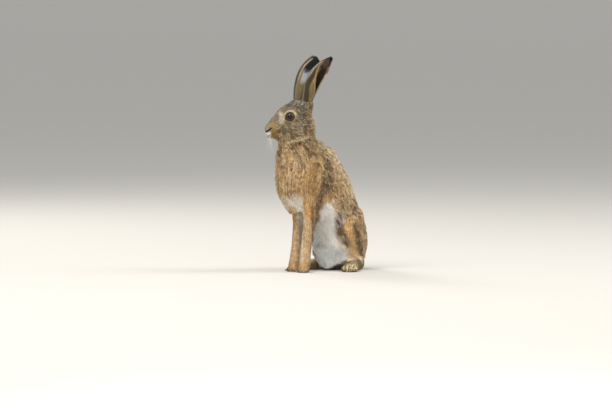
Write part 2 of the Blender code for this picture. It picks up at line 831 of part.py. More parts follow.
def main():
    for old in list(bpy.data.objects):
        bpy.data.objects.remove(old)

    pieces = [tube("flesh", rows) for rows in (TRUNK, BREAST, NECK, TAIL, BELLY_TUFT)]
    for side in (-1, 1):
        pieces += foreleg_pieces(side) + hind_leg_pieces(side)
    body = run_together("torso", pieces, BODY_GRID, 6, BODY_TRIANGLES)
    combined(body, block("floor", (0, 0, 0), (0, 0, -1), SOLE_CUT), "DIFFERENCE")
    nodes = {"torso": body}

    # The head takes the top of the breast too, so that both sides of the neck's gap agree.
    pieces = head_pieces() + [tube("neck", NECK), tube("breast", BREAST[:BREAST_ROWS_SHARED])]
    head = run_together("head", pieces, HEAD_GRID, 4, HEAD_TRIANGLES)
    face_cuts(head)
    nape = head_point(0, *NAPE)
    throat = head_point(0, *THROAT)
    forward = (nape - throat).cross(across(HEAD_TURN)).normalized()
    if forward.dot(head_point(0, -20, 0) - throat) < 0:
        forward = -forward
    behind_head = block("neck cut", throat + forward * GAP / 2, -forward, CUT_DEPTH, CUT_WIDTH)
    before_neck = block("neck cut", throat - forward * GAP / 2, forward, CUT_DEPTH, CUT_WIDTH)
    combined(head, behind_head, "DIFFERENCE")
    combined(body, before_neck, "DIFFERENCE")
    for side in (-1, 1):
        middle, ahead = ear_root(side)
        flat = block("ear flat", middle - ahead * GAP / 2, ahead, EAR_CUT_DEPTH, EAR_CUT_WIDTH)
        combined(head, flat, "DIFFERENCE")
    nodes["head"] = head

    for side, name in ((1, "left"), (-1, "right")):
        nodes["ear_" + name] = ear(side, "ear_" + name)
        nodes["eye_" + name] = eyeball("eye_" + name, side)

        inner, outer = sorted((LEG_INSIDE * side, LEG_OUTSIDE * side))
        low = (inner, LEG_BEFORE, BELOW_GROUND)
        paw = box_region(low, (outer, LEG_BEHIND, WRIST_HEIGHT), CHEST_TURN, (0, 0))
        leg = box_region(low, (outer, LEG_BEHIND, ELBOW_HEIGHT), CHEST_TURN, (0, 0))
        nodes["forepaw_" + name] = part_off(body, "forepaw_" + name, paw)
        nodes["foreleg_" + name] = part_off(body, "foreleg_" + name, leg)

        heel, ahead, sideways, turn = hind_frame(side)
        low = (-FOOT_HALF_WIDTH, FOOT_BEFORE, BELOW_GROUND)
        foot = box_region(low, (FOOT_HALF_WIDTH, FOOT_BEHIND, HOCK_HEIGHT), turn, heel.xy)
        shank = tube_region(widened(shank_rows(side), SHANK_MARGIN))
        hip = on_side([THIGH_PLACE + (0,)], side, HIP_TURN, HIP_FOOT)[0]
        thigh = ball_region(hip[:3], THIGH_REGION, HIP_TURN)
        nodes["hind_foot_" + name] = part_off(body, "hind_foot_" + name, foot)
        nodes["shank_" + name] = part_off(body, "shank_" + name, shank)
        nodes["thigh_" + name] = part_off(body, "thigh_" + name, thigh)

        for paw_name, toes in (("forepaw_", fore_toes(side)), ("hind_foot_", hind_toes(side))):
            for number, (root, tip, radius) in enumerate(toes, 1):
                way = Vector((tip.x - root.x, tip.y - root.y, 0.0)).normalized()
                label = paw_name.replace("forepaw_", "fore").replace("hind_foot_", "hind")
                made = claw(f"claw_{label}_{name}_{number}", tip, way)
                combined(nodes[paw_name + name], claw("socket", tip, way, GAP), "DIFFERENCE")
                nodes[made.name] = made

    nodes["tail"] = part_off(body, "tail", ball_region(TAIL_PLACE, TAIL_REGION, TAIL_REGION_TURN))
    nodes["neck"] = part_off(body, "neck", plane_region(NECK_PLANE, NECK_WAY, CUT_DEPTH, CUT_WIDTH))

    low = Vector((1e9, 1e9, 1e9))
    high = -low
    for made in nodes.values():
        for v in made.data.vertices:
            low = Vector(map(min, low, v.co))
            high = Vector(map(max, high, v.co))
    shift = Vector(((low.x + high.x) / 2, (low.y + high.y) / 2, low.z))
    print("shift", shift / MM)
    print("size", (high - low) / MM)
    for name, made in nodes.items():
        made.data.transform(Matrix.Translation(-shift))
        made.name = name
        made.data.name = name
        colour, roughness = COAT, 0.85
        if name.startswith("eye"):
            colour, roughness = EYE_GLASS, 0.05
        elif name.startswith("claw"):
            colour, roughness = HORN, 0.4
        elif name.startswith("ear"):
            colour = EAR_COAT
        finish(made, name + "_finish", colour, roughness)


main()
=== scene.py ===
# %% [markdown]
# A young brown hare sits upright and looks over its shoulder. The solids already hold its
# outline, so this script only dresses them: one skin over all the flesh, a coat of many small
# tufts on that skin, glossy eyes, horn claws and whiskers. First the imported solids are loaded.

# %% Load the frame
import json
import math

import bmesh
import bpy
import numpy as np
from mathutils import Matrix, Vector
from mathutils.bvhtree import BVHTree
from mathutils.kdtree import KDTree

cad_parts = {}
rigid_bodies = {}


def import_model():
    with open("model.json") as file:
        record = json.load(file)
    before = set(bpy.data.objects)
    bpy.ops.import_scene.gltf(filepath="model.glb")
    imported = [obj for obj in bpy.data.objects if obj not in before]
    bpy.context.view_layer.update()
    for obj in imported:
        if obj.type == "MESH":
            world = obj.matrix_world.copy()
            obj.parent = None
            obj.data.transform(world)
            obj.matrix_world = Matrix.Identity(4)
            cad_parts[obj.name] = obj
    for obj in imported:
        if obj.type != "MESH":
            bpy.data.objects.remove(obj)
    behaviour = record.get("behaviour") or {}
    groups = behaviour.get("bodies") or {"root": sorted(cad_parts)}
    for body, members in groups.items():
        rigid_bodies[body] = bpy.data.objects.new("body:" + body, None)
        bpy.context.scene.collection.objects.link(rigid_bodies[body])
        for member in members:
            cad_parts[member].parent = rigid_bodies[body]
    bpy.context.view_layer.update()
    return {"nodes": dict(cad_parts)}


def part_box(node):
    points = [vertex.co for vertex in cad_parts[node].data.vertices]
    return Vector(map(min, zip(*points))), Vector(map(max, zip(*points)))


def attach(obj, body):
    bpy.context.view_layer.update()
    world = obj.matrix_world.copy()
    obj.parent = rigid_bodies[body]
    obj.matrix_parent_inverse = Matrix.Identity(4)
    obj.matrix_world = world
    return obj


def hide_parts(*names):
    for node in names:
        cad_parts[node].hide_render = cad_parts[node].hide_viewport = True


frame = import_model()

# %% [markdown]
# All sizes are in millimetres, from the point on the ground between the forepaws, with the
# animal facing -Y and its left at +X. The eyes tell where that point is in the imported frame.
# The trunk twists, so hips, chest and head each have their own turn about the upright axis.

# %% Places on the animal
MM = 0.001
EYES_MIDDLE = np.array((-18.5, -9.0, 311.0))
EYE_APART = 15.2
EYE_RADIUS = 10.0
HIP_TURN, CHEST_TURN, HEAD_TURN = -10.0, 14.0, 42.0
SIDES = {"left": 1, "right": -1}


def box_middle(node):
    low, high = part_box(node)
    return np.array((low + high) / 2)


ORIGIN = (box_middle("eye_left") + box_middle("eye_right")) / 2 - EYES_MIDDLE * MM
print("ground point between the forepaws", ORIGIN.round(4))


def leftward(turn):
    angle = math.radians(turn)
    return np.array((math.cos(angle), -math.sin(angle), 0.0))


def rearward(turn):
    angle = math.radians(turn)
    return np.array((math.sin(angle), math.cos(angle), 0.0))


UP = np.array((0.0, 0.0, 1.0))


def on_head(left, back, up):
    """A place on the head: to its left, towards the nape and up, from between the eyes."""
    return EYES_MIDDLE + leftward(HEAD_TURN) * left + rearward(HEAD_TURN) * back + UP * up


def head_way(left, back, up):
    way = on_head(left, back, up) - EYES_MIDDLE
    return way / np.linalg.norm(way)


def in_head(points):
    """How far points lie to the left, back and up from between the eyes."""
    offset = points - EYES_MIDDLE
    return offset @ leftward(HEAD_TURN), offset @ rearward(HEAD_TURN), offset[:, 2]


# %% [markdown]
# Smooth masks are used again and again, both to shape the skin and to colour it. Each returns
# a number from 0 to 1 for every point, so that masks can be multiplied and mixed.

# %% Masks and noise
def rise(low, high, x):
    """0 below low, 1 above high and a smooth step between."""
    t = np.clip((x - low) / (high - low), 0.0, 1.0)
    return t * t * (3.0 - 2.0 * t)


def span(low, high, edge, x):
    """1 between low and high, fading out over edge on each side."""
    return rise(low - edge, low + edge, x) * (1.0 - rise(high - edge, high + edge, x))


def ripple(points, size, seed, waves=7):
    """A smooth random number from about -1 to 1 that changes over lengths near size."""
    draw = np.random.default_rng(seed)
    total = np.zeros(len(points))
    for _ in range(waves):
        way = draw.normal(size=3)
        way /= np.linalg.norm(way)
        pitch = size * draw.uniform(0.6, 1.6)
        total += np.sin(points @ way * math.tau / pitch + draw.uniform(0, math.tau))
    return total / math.sqrt(waves)


def near_path(across, down, path):
    """The distance in a plane from points to a line of joined stretches."""
    least = np.full(len(across), 1e9)
    for (a, b), (c, d) in zip(path, path[1:]):
        run = np.array((c - a, d - b))
        share = np.clip(((across - a) * run[0] + (down - b) * run[1]) / (run @ run), 0, 1)
        least = np.minimum(least, np.hypot(across - a - share * run[0], down - b - share * run[1]))
    return least


def within(across, up, path, soft):
    """1 on a band in a plane, given as stops of across, up and half width, soft at its edge."""
    least = np.full(len(across), 1e9)
    for (a, b, wide), (c, d, wider) in zip(path, path[1:] or path):
        run = np.array((c - a, d - b))
        share = np.clip(((across - a) * run[0] + (up - b) * run[1]) / max(run @ run, 1e-6), 0, 1)
        away = np.hypot(across - a - share * run[0], up - b - share * run[1])
        least = np.minimum(least, away - wide - share * (wider - wide))
    return 1.0 - rise(-soft, soft, least)


def unit(vectors):
    return vectors / np.maximum(np.linalg.norm(vectors, axis=-1, keepdims=True), 1e-9)


# %% [markdown]
# Big meshes are made from arrays, because adding a million corners one at a time is slow.
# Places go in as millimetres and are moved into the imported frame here, in this one function.

# %% Meshes from arrays
def mesh_from(name, points, faces):
    """An object from an array of places in millimetres and an array of triangles or quads."""
    mesh = bpy.data.meshes.new(name)
    faces = np.asarray(faces, np.int32)
    mesh.vertices.add(len(points))
    mesh.vertices.foreach_set("co", (points * MM + ORIGIN).astype(np.float32).ravel())
    mesh.loops.add(faces.size)
    mesh.loops.foreach_set("vertex_index", faces.ravel())
    mesh.polygons.add(len(faces))
    mesh.polygons.foreach_set("loop_start", np.arange(0, faces.size, faces.shape[1], dtype=np.int32))
    mesh.update(calc_edges=True)
    mesh.polygons.foreach_set("use_smooth", np.ones(len(faces), bool))
    piece = bpy.data.objects.new(name, mesh)
    bpy.context.scene.collection.objects.link(piece)
    return piece


def read_points(mesh):
    flat = np.empty(len(mesh.vertices) * 3, np.float32)
    mesh.vertices.foreach_get("co", flat)
    return (flat.reshape(-1, 3).astype(float) - ORIGIN) / MM


def read_normals(mesh):
    flat = np.empty(len(mesh.vertices) * 3, np.float32)
    mesh.vertex_normals.foreach_get("vector", flat)
    return flat.reshape(-1, 3).astype(float)


def write_points(mesh, points):
    mesh.vertices.foreach_set("co", (points * MM + ORIGIN).astype(np.float32).ravel())
    mesh.update()


def read_triangles(mesh):
    mesh.calc_loop_triangles()
    flat = np.empty(len(mesh.loop_triangles) * 3, np.int32)
    mesh.loop_triangles.foreach_get("vertices", flat)
    return flat.reshape(-1, 3)


def paint(piece, name, colours):
    """Stores a colour for each vertex, for a material to read."""
    layer = piece.data.color_attributes.new(name, "FLOAT_COLOR", "POINT")
    full = np.ones((len(colours), 4), np.float32)
    full[:, :3] = colours
    layer.data.foreach_set("color", full.ravel())


# %% [markdown]
# A material is written as Python expressions. Wire wraps a socket, and each operator adds one
# Math node, so that 1 - mask * 0.4 reads like the sum that it is. Every other node comes from
# Finish.node, which sets the node's own settings first and then its sockets.

# %% Shader expressions
class Wire:
    """A socket that can stand in a sum."""

    def __init__(self, finish, socket):
        self.finish = finish
        self.socket = socket

    def joined(self, operation, first, second):
        return self.finish.node("ShaderNodeMath", {"operation": operation}, {0: first, 1: second})

    def __add__(self, other):
        return self.joined("ADD", self, other)

    def __radd__(self, other):
        return self.joined("ADD", other, self)

    def __sub__(self, other):
        return self.joined("SUBTRACT", self, other)

    def __rsub__(self, other):
        return self.joined("SUBTRACT", other, self)

    def __mul__(self, other):
        return self.joined("MULTIPLY", self, other)

    def __rmul__(self, other):
        return self.joined("MULTIPLY", other, self)

    def __pow__(self, other):
        return self.joined("POWER", self, other)


class Finish:
    """A material with a Principled shader, built node by node."""

    def __init__(self, name, **fixed):
        self.material = bpy.data.materials.new(name)
        self.material.use_nodes = True
        self.tree = self.material.node_tree
        self.shader = self.tree.nodes["Principled BSDF"]
        for socket, value in fixed.items():
            self.shader.inputs[socket.replace("_", " ")].default_value = value

    def feed(self, socket, value):
        if isinstance(value, Wire):
            self.tree.links.new(value.socket, socket)
        else:
            socket.default_value = value

    def node(self, kind, settings=None, sockets=None, out=0):
        made = self.tree.nodes.new(kind)
        for name, value in (settings or {}).items():
            if name == "stops":
                ramp = made.color_ramp
                for place, shade in value[1:-1]:
                    ramp.elements.new(place)
                for stop, (place, shade) in zip(ramp.elements, value):
                    stop.position = place
                    stop.color = (*shade, 1.0)
            else:
                setattr(made, name, value)
        for socket, value in (sockets or {}).items():
            self.feed(made.inputs[socket], value)
        return Wire(self, made.outputs[out])

    def blended(self, share, first, second, how="MIX"):
        """Two colours mixed: share of 0 gives the first."""
        return self.node("ShaderNodeMix", {"data_type": "RGBA", "blend_type": how},
                         {0: share, 6: first, 7: second}, out=2)

    def surface(self, **wires):
        for socket, value in wires.items():
            self.feed(self.shader.inputs[socket.replace("_", " ")], value)
        return self.material


def colour(code):
    """A colour written as on the screen, such as c19a6b, as the linear numbers of a shader."""
    parts = np.array([int(code[i:i + 2], 16) for i in (0, 2, 4)]) / 255.0
    return np.where(parts <= 0.04045, parts / 12.92, ((parts + 0.055) / 1.055) ** 2.4)


# %% [markdown]
# The camera stands ten metres off with a long lens, low over the ground, and looks at the
# animal's left front. Its aim leaves the hare a little left of the middle of a wide picture.

# %% Camera
CAMERA_TURN = 45.0
CAMERA_RISE = 3.0
CAMERA_AWAY = 10.0
CAMERA_LENS = 294.1
CAMERA_AIM = np.array((8.9, 8.9, 136.2))


def put_camera():
    turn, lift = math.radians(CAMERA_TURN), math.radians(CAMERA_RISE)
    towards = Vector((math.sin(turn) * math.cos(lift), -math.cos(turn) * math.cos(lift), math.sin(lift)))
    lens = bpy.data.cameras.new("camera")
    lens.lens = CAMERA_LENS
    lens.sensor_width = 36.0
    lens.clip_end = 100.0
    camera = bpy.data.objects.new("camera", lens)
    camera.location = Vector(CAMERA_AIM * MM + ORIGIN) + towards * CAMERA_AWAY
    camera.rotation_euler = (-towards).to_track_quat("-Z", "Y").to_euler()
    bpy.context.scene.collection.objects.link(camera)
    bpy.context.scene.camera = camera
    return camera


print("camera at", [round(x, 3) for x in put_camera().location])

# %% [markdown]
# Under the coat lies one skin. The flesh solids are swollen a little so that they close the
# thin gaps between them, run together on a fine voxel grid, and smoothed. The eyes go in too,
# so that no socket is left: the lids are shaped afterwards, where the mesh is made finer.

# %% Skin: run the flesh together
SWELL = 0.35
SKIN_GRID = 1.4
SKIN_SMOOTHING = 14
EAR_NODES = ["ear_left", "ear_right"]
CLAW_NODES = sorted(name for name in frame["nodes"] if name.startswith("claw_"))
EYE_NODES = ["eye_left", "eye_right"]
FLESH_NODES = sorted(set(frame["nodes"]) - set(EAR_NODES) - set(CLAW_NODES) - set(EYE_NODES))


def merged(node):
    """A node's vertices and triangles, with the corners that its facets share made one."""
    shape = bmesh.new()
    shape.from_mesh(frame["nodes"][node].data)
    bmesh.ops.remove_doubles(shape, verts=shape.verts, dist=0.00001)
    shape.normal_update()
    points = np.array([v.co + v.normal * SWELL * MM for v in shape.verts])
    faces = [[v.index for v in face.verts] for face in shape.faces]
    shape.free()
    return (points - ORIGIN) / MM, faces


def modified(piece, kind, **settings):
    """piece with one modifier added and applied."""
    modifier = piece.modifiers.new(kind.lower(), kind)
    for name, value in settings.items():
        setattr(modifier, name, value)
    bpy.context.view_layer.update()
    graph = bpy.context.evaluated_depsgraph_get()
    made = bpy.data.meshes.new_from_object(piece.evaluated_get(graph))
    old = piece.data
    piece.modifiers.clear()
    piece.data = made
    bpy.data.meshes.remove(old)
    return piece


def cone(start, end, first, last, sides=24):
    """A closed tube with straight sides, as places and triangles."""
    ahead = unit(end - start)
    side = unit(np.cross(ahead, (0.3, 0.5, 0.81)))
    other = np.cross(ahead, side)
    angles = np.arange(sides) * math.tau / sides
    ring = np.cos(angles)[:, None] * side + np.sin(angles)[:, None] * other
    points = np.vstack([start + ring * first, end + ring * last, start[None], end[None]])
    faces = []
    for s in range(sides):
        n = (s + 1) % sides
        faces += [[s, n, sides + n], [s, sides + n, sides + s]]
        faces += [[n, s, 2 * sides], [sides + s, sides + n, 2 * sides + 1]]
    return points, faces


EAR_ROOTS = {1: (on_head(13, 33.5, 31), on_head(15, 36.5, 44)), -1: (on_head(-13, 18.5, 31), on_head(-15, 20, 45))}


def flesh_together():
    points, faces, count = [], [], 0
    pieces = [merged(node) for node in FLESH_NODES + EYE_NODES]
    for start, end in EAR_ROOTS.values():
        ahead = unit(end - start)
        pieces.append(cone(start - ahead * 6, start + ahead * 13, 10.0, 6.0))
    for places, triangles in pieces:
        points.append(places)
        faces += [[i + count for i in face] for face in triangles]
        count += len(places)
    skin = mesh_from("skin", np.vstack(points), np.array(faces))
    modified(skin, "REMESH", mode="VOXEL", voxel_size=SKIN_GRID * MM)
    return modified(skin, "SMOOTH", factor=0.5, iterations=SKIN_SMOOTHING)


skin = flesh_together()
print("skin before its details:", len(skin.data.vertices), "vertices")

# %% [markdown]
# Hair doesn't stand the same way everywhere. A few guide lines along the neck, trunk, limbs
# and head say which way it lies and what kind of hair grows there. Each kind is a set of
# sizes: length, how high its tips stand over the skin, width of a tuft, tufts to the square
# millimetre, how strongly the tips draw together into locks, and how ticked it is.

# %% Kinds of hair
HAIR = {
    "nose": (1.6, 0.7, 0.45, 3.2, 0.0, 0.1),
    "muzzle": (2.6, 1.0, 0.50, 3.0, 0.1, 0.3),
    "face": (3.4, 1.3, 0.60, 2.4, 0.2, 0.7),
    "cheek": (5.0, 1.8, 0.75, 1.8, 0.4, 0.9),
    "crown": (4.8, 2.0, 0.80, 1.8, 0.6, 1.2),
    "nape": (8.0, 2.6, 1.0, 1.3, 0.5, 1.0),
    "throat": (9.0, 4.0, 1.0, 1.3, 0.6, 1.0),
    "chest": (12.0, 5.6, 1.2, 1.15, 0.8, 1.1),
    "back": (11.5, 4.2, 1.25, 1.15, 0.7, 1.4),
    "flank": (11.5, 4.8, 1.25, 1.15, 0.7, 1.3),
    "belly": (13.0, 5.2, 1.3, 1.0, 0.7, 0.2),
    "rump": (10.0, 3.2, 1.2, 1.2, 0.6, 1.2),
    "thigh": (8.5, 3.4, 1.1, 1.3, 0.5, 1.1),
    "arm": (7.0, 2.6, 1.0, 1.4, 0.5, 0.6),
    "leg": (5.0, 1.8, 0.85, 1.7, 0.35, 0.35),
    "foot": (4.2, 1.3, 0.8, 1.9, 0.3, 0.3),
    "tail": (12.0, 4.5, 1.3, 1.1, 0.4, 0.2),
}
SHADES = {
    "nose": "b5a084",
    "muzzle": "a5895a",
    "face": "8f7f68",
    "cheek": "7f7057",
    "crown": "5a4f3e",
    "nape": "9d8059",
    "throat": "806339",
    "chest": "c29c6a",
    "back": "cdb085",
    "flank": "a9844e",
    "belly": "f2efe6",
    "rump": "b9966a",
    "thigh": "c69e6c",
    "arm": "c79f6d",
    "leg": "cdac82",
    "foot": "c8a370",
    "tail": "dedbd4",
}

# %% [markdown]
# The guide lines run through the tubes that the animal is built from, one line for each angle
# around a tube: 0 is its left, 90 its back or upper side and -90 its front or belly. Each row
# of a tube holds its middle, its turn and its radii to the side, behind and before.

# %% Guide lines of the body
TRUNK_TUBE = [
    (4, 17, 235, 18, 26, 43, 38),
    (6, 24, 220, 16, 36, 54, 50),
    (8, 34, 196, 14, 43, 58, 58),
    (9, 56, 160, 9, 47, 62, 60),
    (8, 80, 122, 2, 51, 56.5, 46),
    (4, 94, 84, -5, 53, 56, 41),
    (3, 101, 56, -9, 54, 57, 42),
    (3, 104, 30, -10, 47, 48, 36),
]
NECK_TUBE = [
    (-3, 3, 303, 42, 20, 30, 26),
    (-5, 0, 286, 38, 22, 33, 38),
    (-4, 1, 266, 31, 25, 34, 44),
    (0, 6, 246, 24, 28, 37, 49),
    (5, 17, 228, 18, 32, 40, 55),
]
BREAST_TUBE = [
    (-4, -4, 252, 25, 27, 30, 34),
    (-5, -8, 232, 21, 31, 33, 39.5),
    (-5, -13, 205, 18, 35, 34, 35.5),
    (-4, -14, 176, 15, 34, 34, 35),
    (-2, -8, 153, 13, 28, 28, 32),
    (-2, -3, 143, 12, 23, 24, 30),
]
TAIL_TUBE = [(-3, 146, 58, -10, 12, 12, 12), (-15, 169, 24, -50, 16, 15, 17), (-40, 174, 12, -85, 11, 10, 13)]
ARM_TUBE = [(22, 36, 226, 0, 10, 20, 18), (31, 12, 172, 0, 17.5, 32, 30), (22, 10, 124, 0, 12.5, 16, 13.5)]
FOREARM_TUBE = [(22, 10, 132, 0, 13, 17, 14), (20, 8, 96, 0, 10.4, 12.5, 10.5),
                (18.5, 4, 60, 0, 9.8, 12.5, 9.8), (18.5, 1, 26, 0, 11.2, 12, 10.5)]
FOREPAW_TUBE = [(18.8, 5, 16, 0, 12, 9, 9), (18.8, -6, 9, 0, 14, 8, 7), (18.8, -17, 4, 0, 14, 5, 4)]
THIGH_TUBE = [(28, 6, 136, 0, 22, 26, 26), (38, 0, 106, 0, 24, 34, 34), (42, -4, 78, 0, 20, 30, 28)]
INNER_THIGH_TUBE = [(28, -6, 114, 0, 16, 18, 17), (27, -16, 94, 0, 13.5, 16, 14), (23, -9, 58, 0, 11, 12, 12)]
BUTTOCK_TUBE = [(25, 6, 104, 0, 26, 28, 32), (28, 14, 80, 0, 23, 30, 27),
                (27, 27, 52, 0, 16, 33.5, 20), (24, 34, 28, 0, 13.5, 24, 15)]
SHANK_TUBE = [(46, -26, 101, 10, 13.5, 15, 14), (45, -25, 79, 15, 13.5, 14.5, 14),
              (39, -9, 55, 20, 10.5, 11, 11), (24.5, 35, 18, 26, 10, 10, 10)]
HIP_FOOT = (3.0, 105.0)
FOOT_HEEL = (24.0, 39.0)
FOOT_SPLAY = -23.0
FOOT_TUBE = [(-6, 12, 11, 15, 12), (30, 11, 11.5, 14, 12), (60, 9.5, 14.5, 12.5, 12), (100, 5, 15.5, 8, 6)]

ALL_ROUND = (0, 45, 90, 135, 180, 225, 270, 315)


def on_side(rows, side, turn, foot):
    """Rows of a limb's tube, given from a foot point in a turned frame, for one side."""
    made = []
    for row in rows:
        spot = np.array((*foot, 0.0)) + leftward(turn) * row[0] * side + rearward(turn) * row[1]
        made.append((spot[0], spot[1], row[2], side * row[3] + turn, *row[4:]))
    return made


def foot_frame(side):
    """A hind foot's heel on the ground and its ways ahead and across."""
    heel = np.array((*HIP_FOOT, 0.0)) + leftward(HIP_TURN) * side * FOOT_HEEL[0]
    heel = heel + rearward(HIP_TURN) * FOOT_HEEL[1]
    turn = HIP_TURN + side * FOOT_SPLAY
    return heel, -rearward(turn), leftward(turn), turn


class Guides:
    """Samples of the lie of the hair: a place, a way and a kind for each."""

    def __init__(self):
        self.places, self.ways, self.kinds = [], [], []

    def line(self, points, kind, step=7.0):
        """Samples along a line, each with the way that the line runs there."""
        points = np.array(points, float)
        for a, b in zip(points, points[1:]):
            count = max(1, int(np.linalg.norm(b - a) / step))
            for share in (np.arange(count) + 0.5) / count:
                self.places.append(a + (b - a) * share)
                self.ways.append(unit(b - a))
                self.kinds.append(kind)

    def tube(self, rows, kinds):
        """One line for each angle of kinds, on the surface of a tube.

        A kind is a name, or the name above a height, that height and the name below it.
        """
        middles = np.array([row[:3] for row in rows], float)
        for angle, kind in kinds.items():
            line = []
            for i, row in enumerate(rows):
                ahead = unit(middles[min(i + 1, len(rows) - 1)] - middles[max(i - 1, 0)])
                side = leftward(row[3])
                side = unit(side - ahead * (side @ ahead))
                behind = np.cross(side, ahead)
                turned = math.radians(angle)
                depth = row[5] if math.sin(turned) > 0 else row[6]
                line.append(middles[i] + side * row[4] * math.cos(turned) + behind * depth * math.sin(turned))
            if isinstance(kind, str):
                self.line(line, kind)
                continue
            for a, b in zip(line, line[1:]):
                self.line([a, b], kind[0] if (a + b)[2] / 2 > kind[1] else kind[2])


def body_guides(guides):
    guides.tube(TRUNK_TUBE, {
        0: ("flank", 96, "thigh"), 30: ("flank", 96, "rump"), 60: ("back", 96, "rump"),
        90: ("back", 96, "rump"), 120: ("back", 96, "rump"), 150: ("flank", 96, "rump"),
        180: ("flank", 96, "thigh"), 215: ("flank", 128, "belly"), 245: ("chest", 150, "belly"),
        270: ("chest", 150, "belly"), 295: ("chest", 150, "belly"), 325: ("flank", 128, "belly")})
    guides.tube(NECK_TUBE, {90: "nape", 50: "nape", 130: "nape", 15: "throat", 165: "throat",
                            210: "throat", 250: "throat", 290: "throat", 330: "throat"})
    guides.tube(BREAST_TUBE, {270: "chest", 240: "chest", 300: "chest", 210: "chest", 330: "chest",
                              0: "chest", 180: "chest"})
    guides.tube(TAIL_TUBE, dict.fromkeys(ALL_ROUND, "tail"))
    for side in (1, -1):
        inward = 180 if side == 1 else 0
        arm = {angle: "arm" for angle in ALL_ROUND if angle != inward}
        guides.tube(on_side(ARM_TUBE, side, CHEST_TURN, (0, 0)), arm)
        guides.tube(on_side(FOREARM_TUBE, side, CHEST_TURN, (0, 0)), dict.fromkeys(ALL_ROUND, "leg"))
        guides.tube(on_side(FOREPAW_TUBE, side, CHEST_TURN, (0, 0)), dict.fromkeys(ALL_ROUND, "foot"))
        outer = {angle: "thigh" for angle in ALL_ROUND if abs(angle - (0 if side == 1 else 180)) <= 90}
        outer[315 if side == 1 else 225] = "thigh"
        guides.tube(on_side(THIGH_TUBE, side, HIP_TURN, HIP_FOOT), outer)
        inner = {angle: "thigh" for angle in (270, 0 if side == 1 else 180)}
        guides.tube(on_side(INNER_THIGH_TUBE, side, HIP_TURN, HIP_FOOT), inner)
        guides.tube(on_side(BUTTOCK_TUBE, side, HIP_TURN, HIP_FOOT), {
            90: "rump", 45 if side == 1 else 135: "rump", 0 if side == 1 else 180: "thigh"})
        guides.tube(on_side(SHANK_TUBE, side, HIP_TURN, HIP_FOOT), dict.fromkeys(ALL_ROUND, "leg"))
        heel, ahead, across, turn = foot_frame(side)
        rows = [(*(heel + ahead * row[0])[:2], row[1], turn, *row[2:]) for row in FOOT_TUBE]
        guides.tube(rows, dict.fromkeys(ALL_ROUND, "foot"))


# %% [markdown]
# On the head the hair runs back from the nose, up over the brow and down over the cheeks to
# the edge of the jaw. Around each eye it is short and lies away from the lids, and at the foot
# of each ear it turns up along the ear.

# %% Guide lines of the head
HEAD_SLICES = [
    (-50.5, -21.5, -30, 5.5),
    (-44.0, -11.5, -42.5, 10.5),
    (-31.0, 4.5, -48.5, 13.5),
    (-16.0, 20.5, -49, 17.5),
    (0.0, 27.3, -48.5, 21.5),
    (15.0, 29.0, -44, 22.5),
    (30.0, 24, -37, 21.0),
    (43.0, 8, -26, 14.0),
]
HEAD_KINDS = {
    90: ("nose", "face", "face", "face", "crown", "crown", "nape"),
    50: ("nose", "face", "face", "face", "crown", "crown", "nape"),
    15: ("nose", "muzzle", "face", "face", "cheek", "cheek", "nape"),
    -15: ("nose", "muzzle", "face", "cheek", "cheek", "cheek", "nape"),
    -45: ("nose", "muzzle", "muzzle", "cheek", "cheek", "cheek", "throat"),
    -90: ("nose", "muzzle", "cheek", "cheek", "throat", "throat", "throat"),
}
EYE_AXES = {side: head_way(side * 1.0, -0.16, 0.1) for side in (1, -1)}
EYE_CENTRES = {side: on_head(side * EYE_APART, 0, 0) for side in (1, -1)}


def ring_about(centre, axis, radius, count):
    """Places on a circle about an axis, starting from its top."""
    top = unit(UP - axis * (UP @ axis))
    ahead = np.cross(top, axis)
    angles = np.arange(count) * math.tau / count
    return centre + radius * (np.cos(angles)[:, None] * top + np.sin(angles)[:, None] * ahead)


def head_guides(guides):
    for angle, kinds in HEAD_KINDS.items():
        for side in (1, -1):
            line = []
            for back, top, bottom, width in HEAD_SLICES:
                turned = math.radians(angle)
                level = (top + bottom) / 2
                line.append(on_head(side * width * math.cos(turned), back, level + (top - level) * math.sin(turned)))
            for a, b, kind in zip(line, line[1:], kinds):
                guides.line([a, b], kind)
    for side in (1, -1):
        centre, axis = EYE_CENTRES[side], EYE_AXES[side]
        backward = rearward(HEAD_TURN) - axis * (rearward(HEAD_TURN) @ axis)
        for spot in ring_about(centre + axis * 7.0, axis, 10.5, 12):
            outward = unit(spot - centre - axis * 7.0)
            guides.places.append(spot)
            guides.ways.append(unit(outward + backward * 0.9))
            guides.kinds.append("muzzle")
        start, end = EAR_ROOTS[side]
        ahead = unit(end - start)
        for spot in ring_about(start, ahead, 11.5, 10):
            guides.line([spot - ahead * 5, spot + ahead * 9], "crown")


guides = Guides()
body_guides(guides)
head_guides(guides)
print("samples of the lie of the hair:", len(guides.places))

# %% [markdown]
# Every point of the skin takes the mean of the samples near it, the closest counting by far
# the most. That gives it a way, the sizes of its hair and a first colour. The skin then sinks
# by the height of its own hair, so that the tips end where the solids do.

# %% Lie of the hair over the skin
def lie_of_hair(points):
    """Way, hair sizes and shade for each point, mixed from the samples."""
    places = np.array(guides.places)
    ways = np.array(guides.ways)
    sizes = np.array([HAIR[kind] for kind in guides.kinds])
    shades = np.array([colour(SHADES[kind]) for kind in guides.kinds])
    facts = np.hstack([ways, sizes, shades])
    made = np.empty((len(points), facts.shape[1]))
    for start in range(0, len(points), 20000):
        part = points[start:start + 20000]
        square = (part**2).sum(1)[:, None] + (places**2).sum(1) - 2 * part @ places.T
        weight = 1.0 / (np.maximum(square, 0.0) + 6.0) ** 2.5
        made[start:start + 20000] = weight @ facts / weight.sum(1, keepdims=True)
    return unit(made[:, :3]), made[:, 3:9], made[:, 9:]


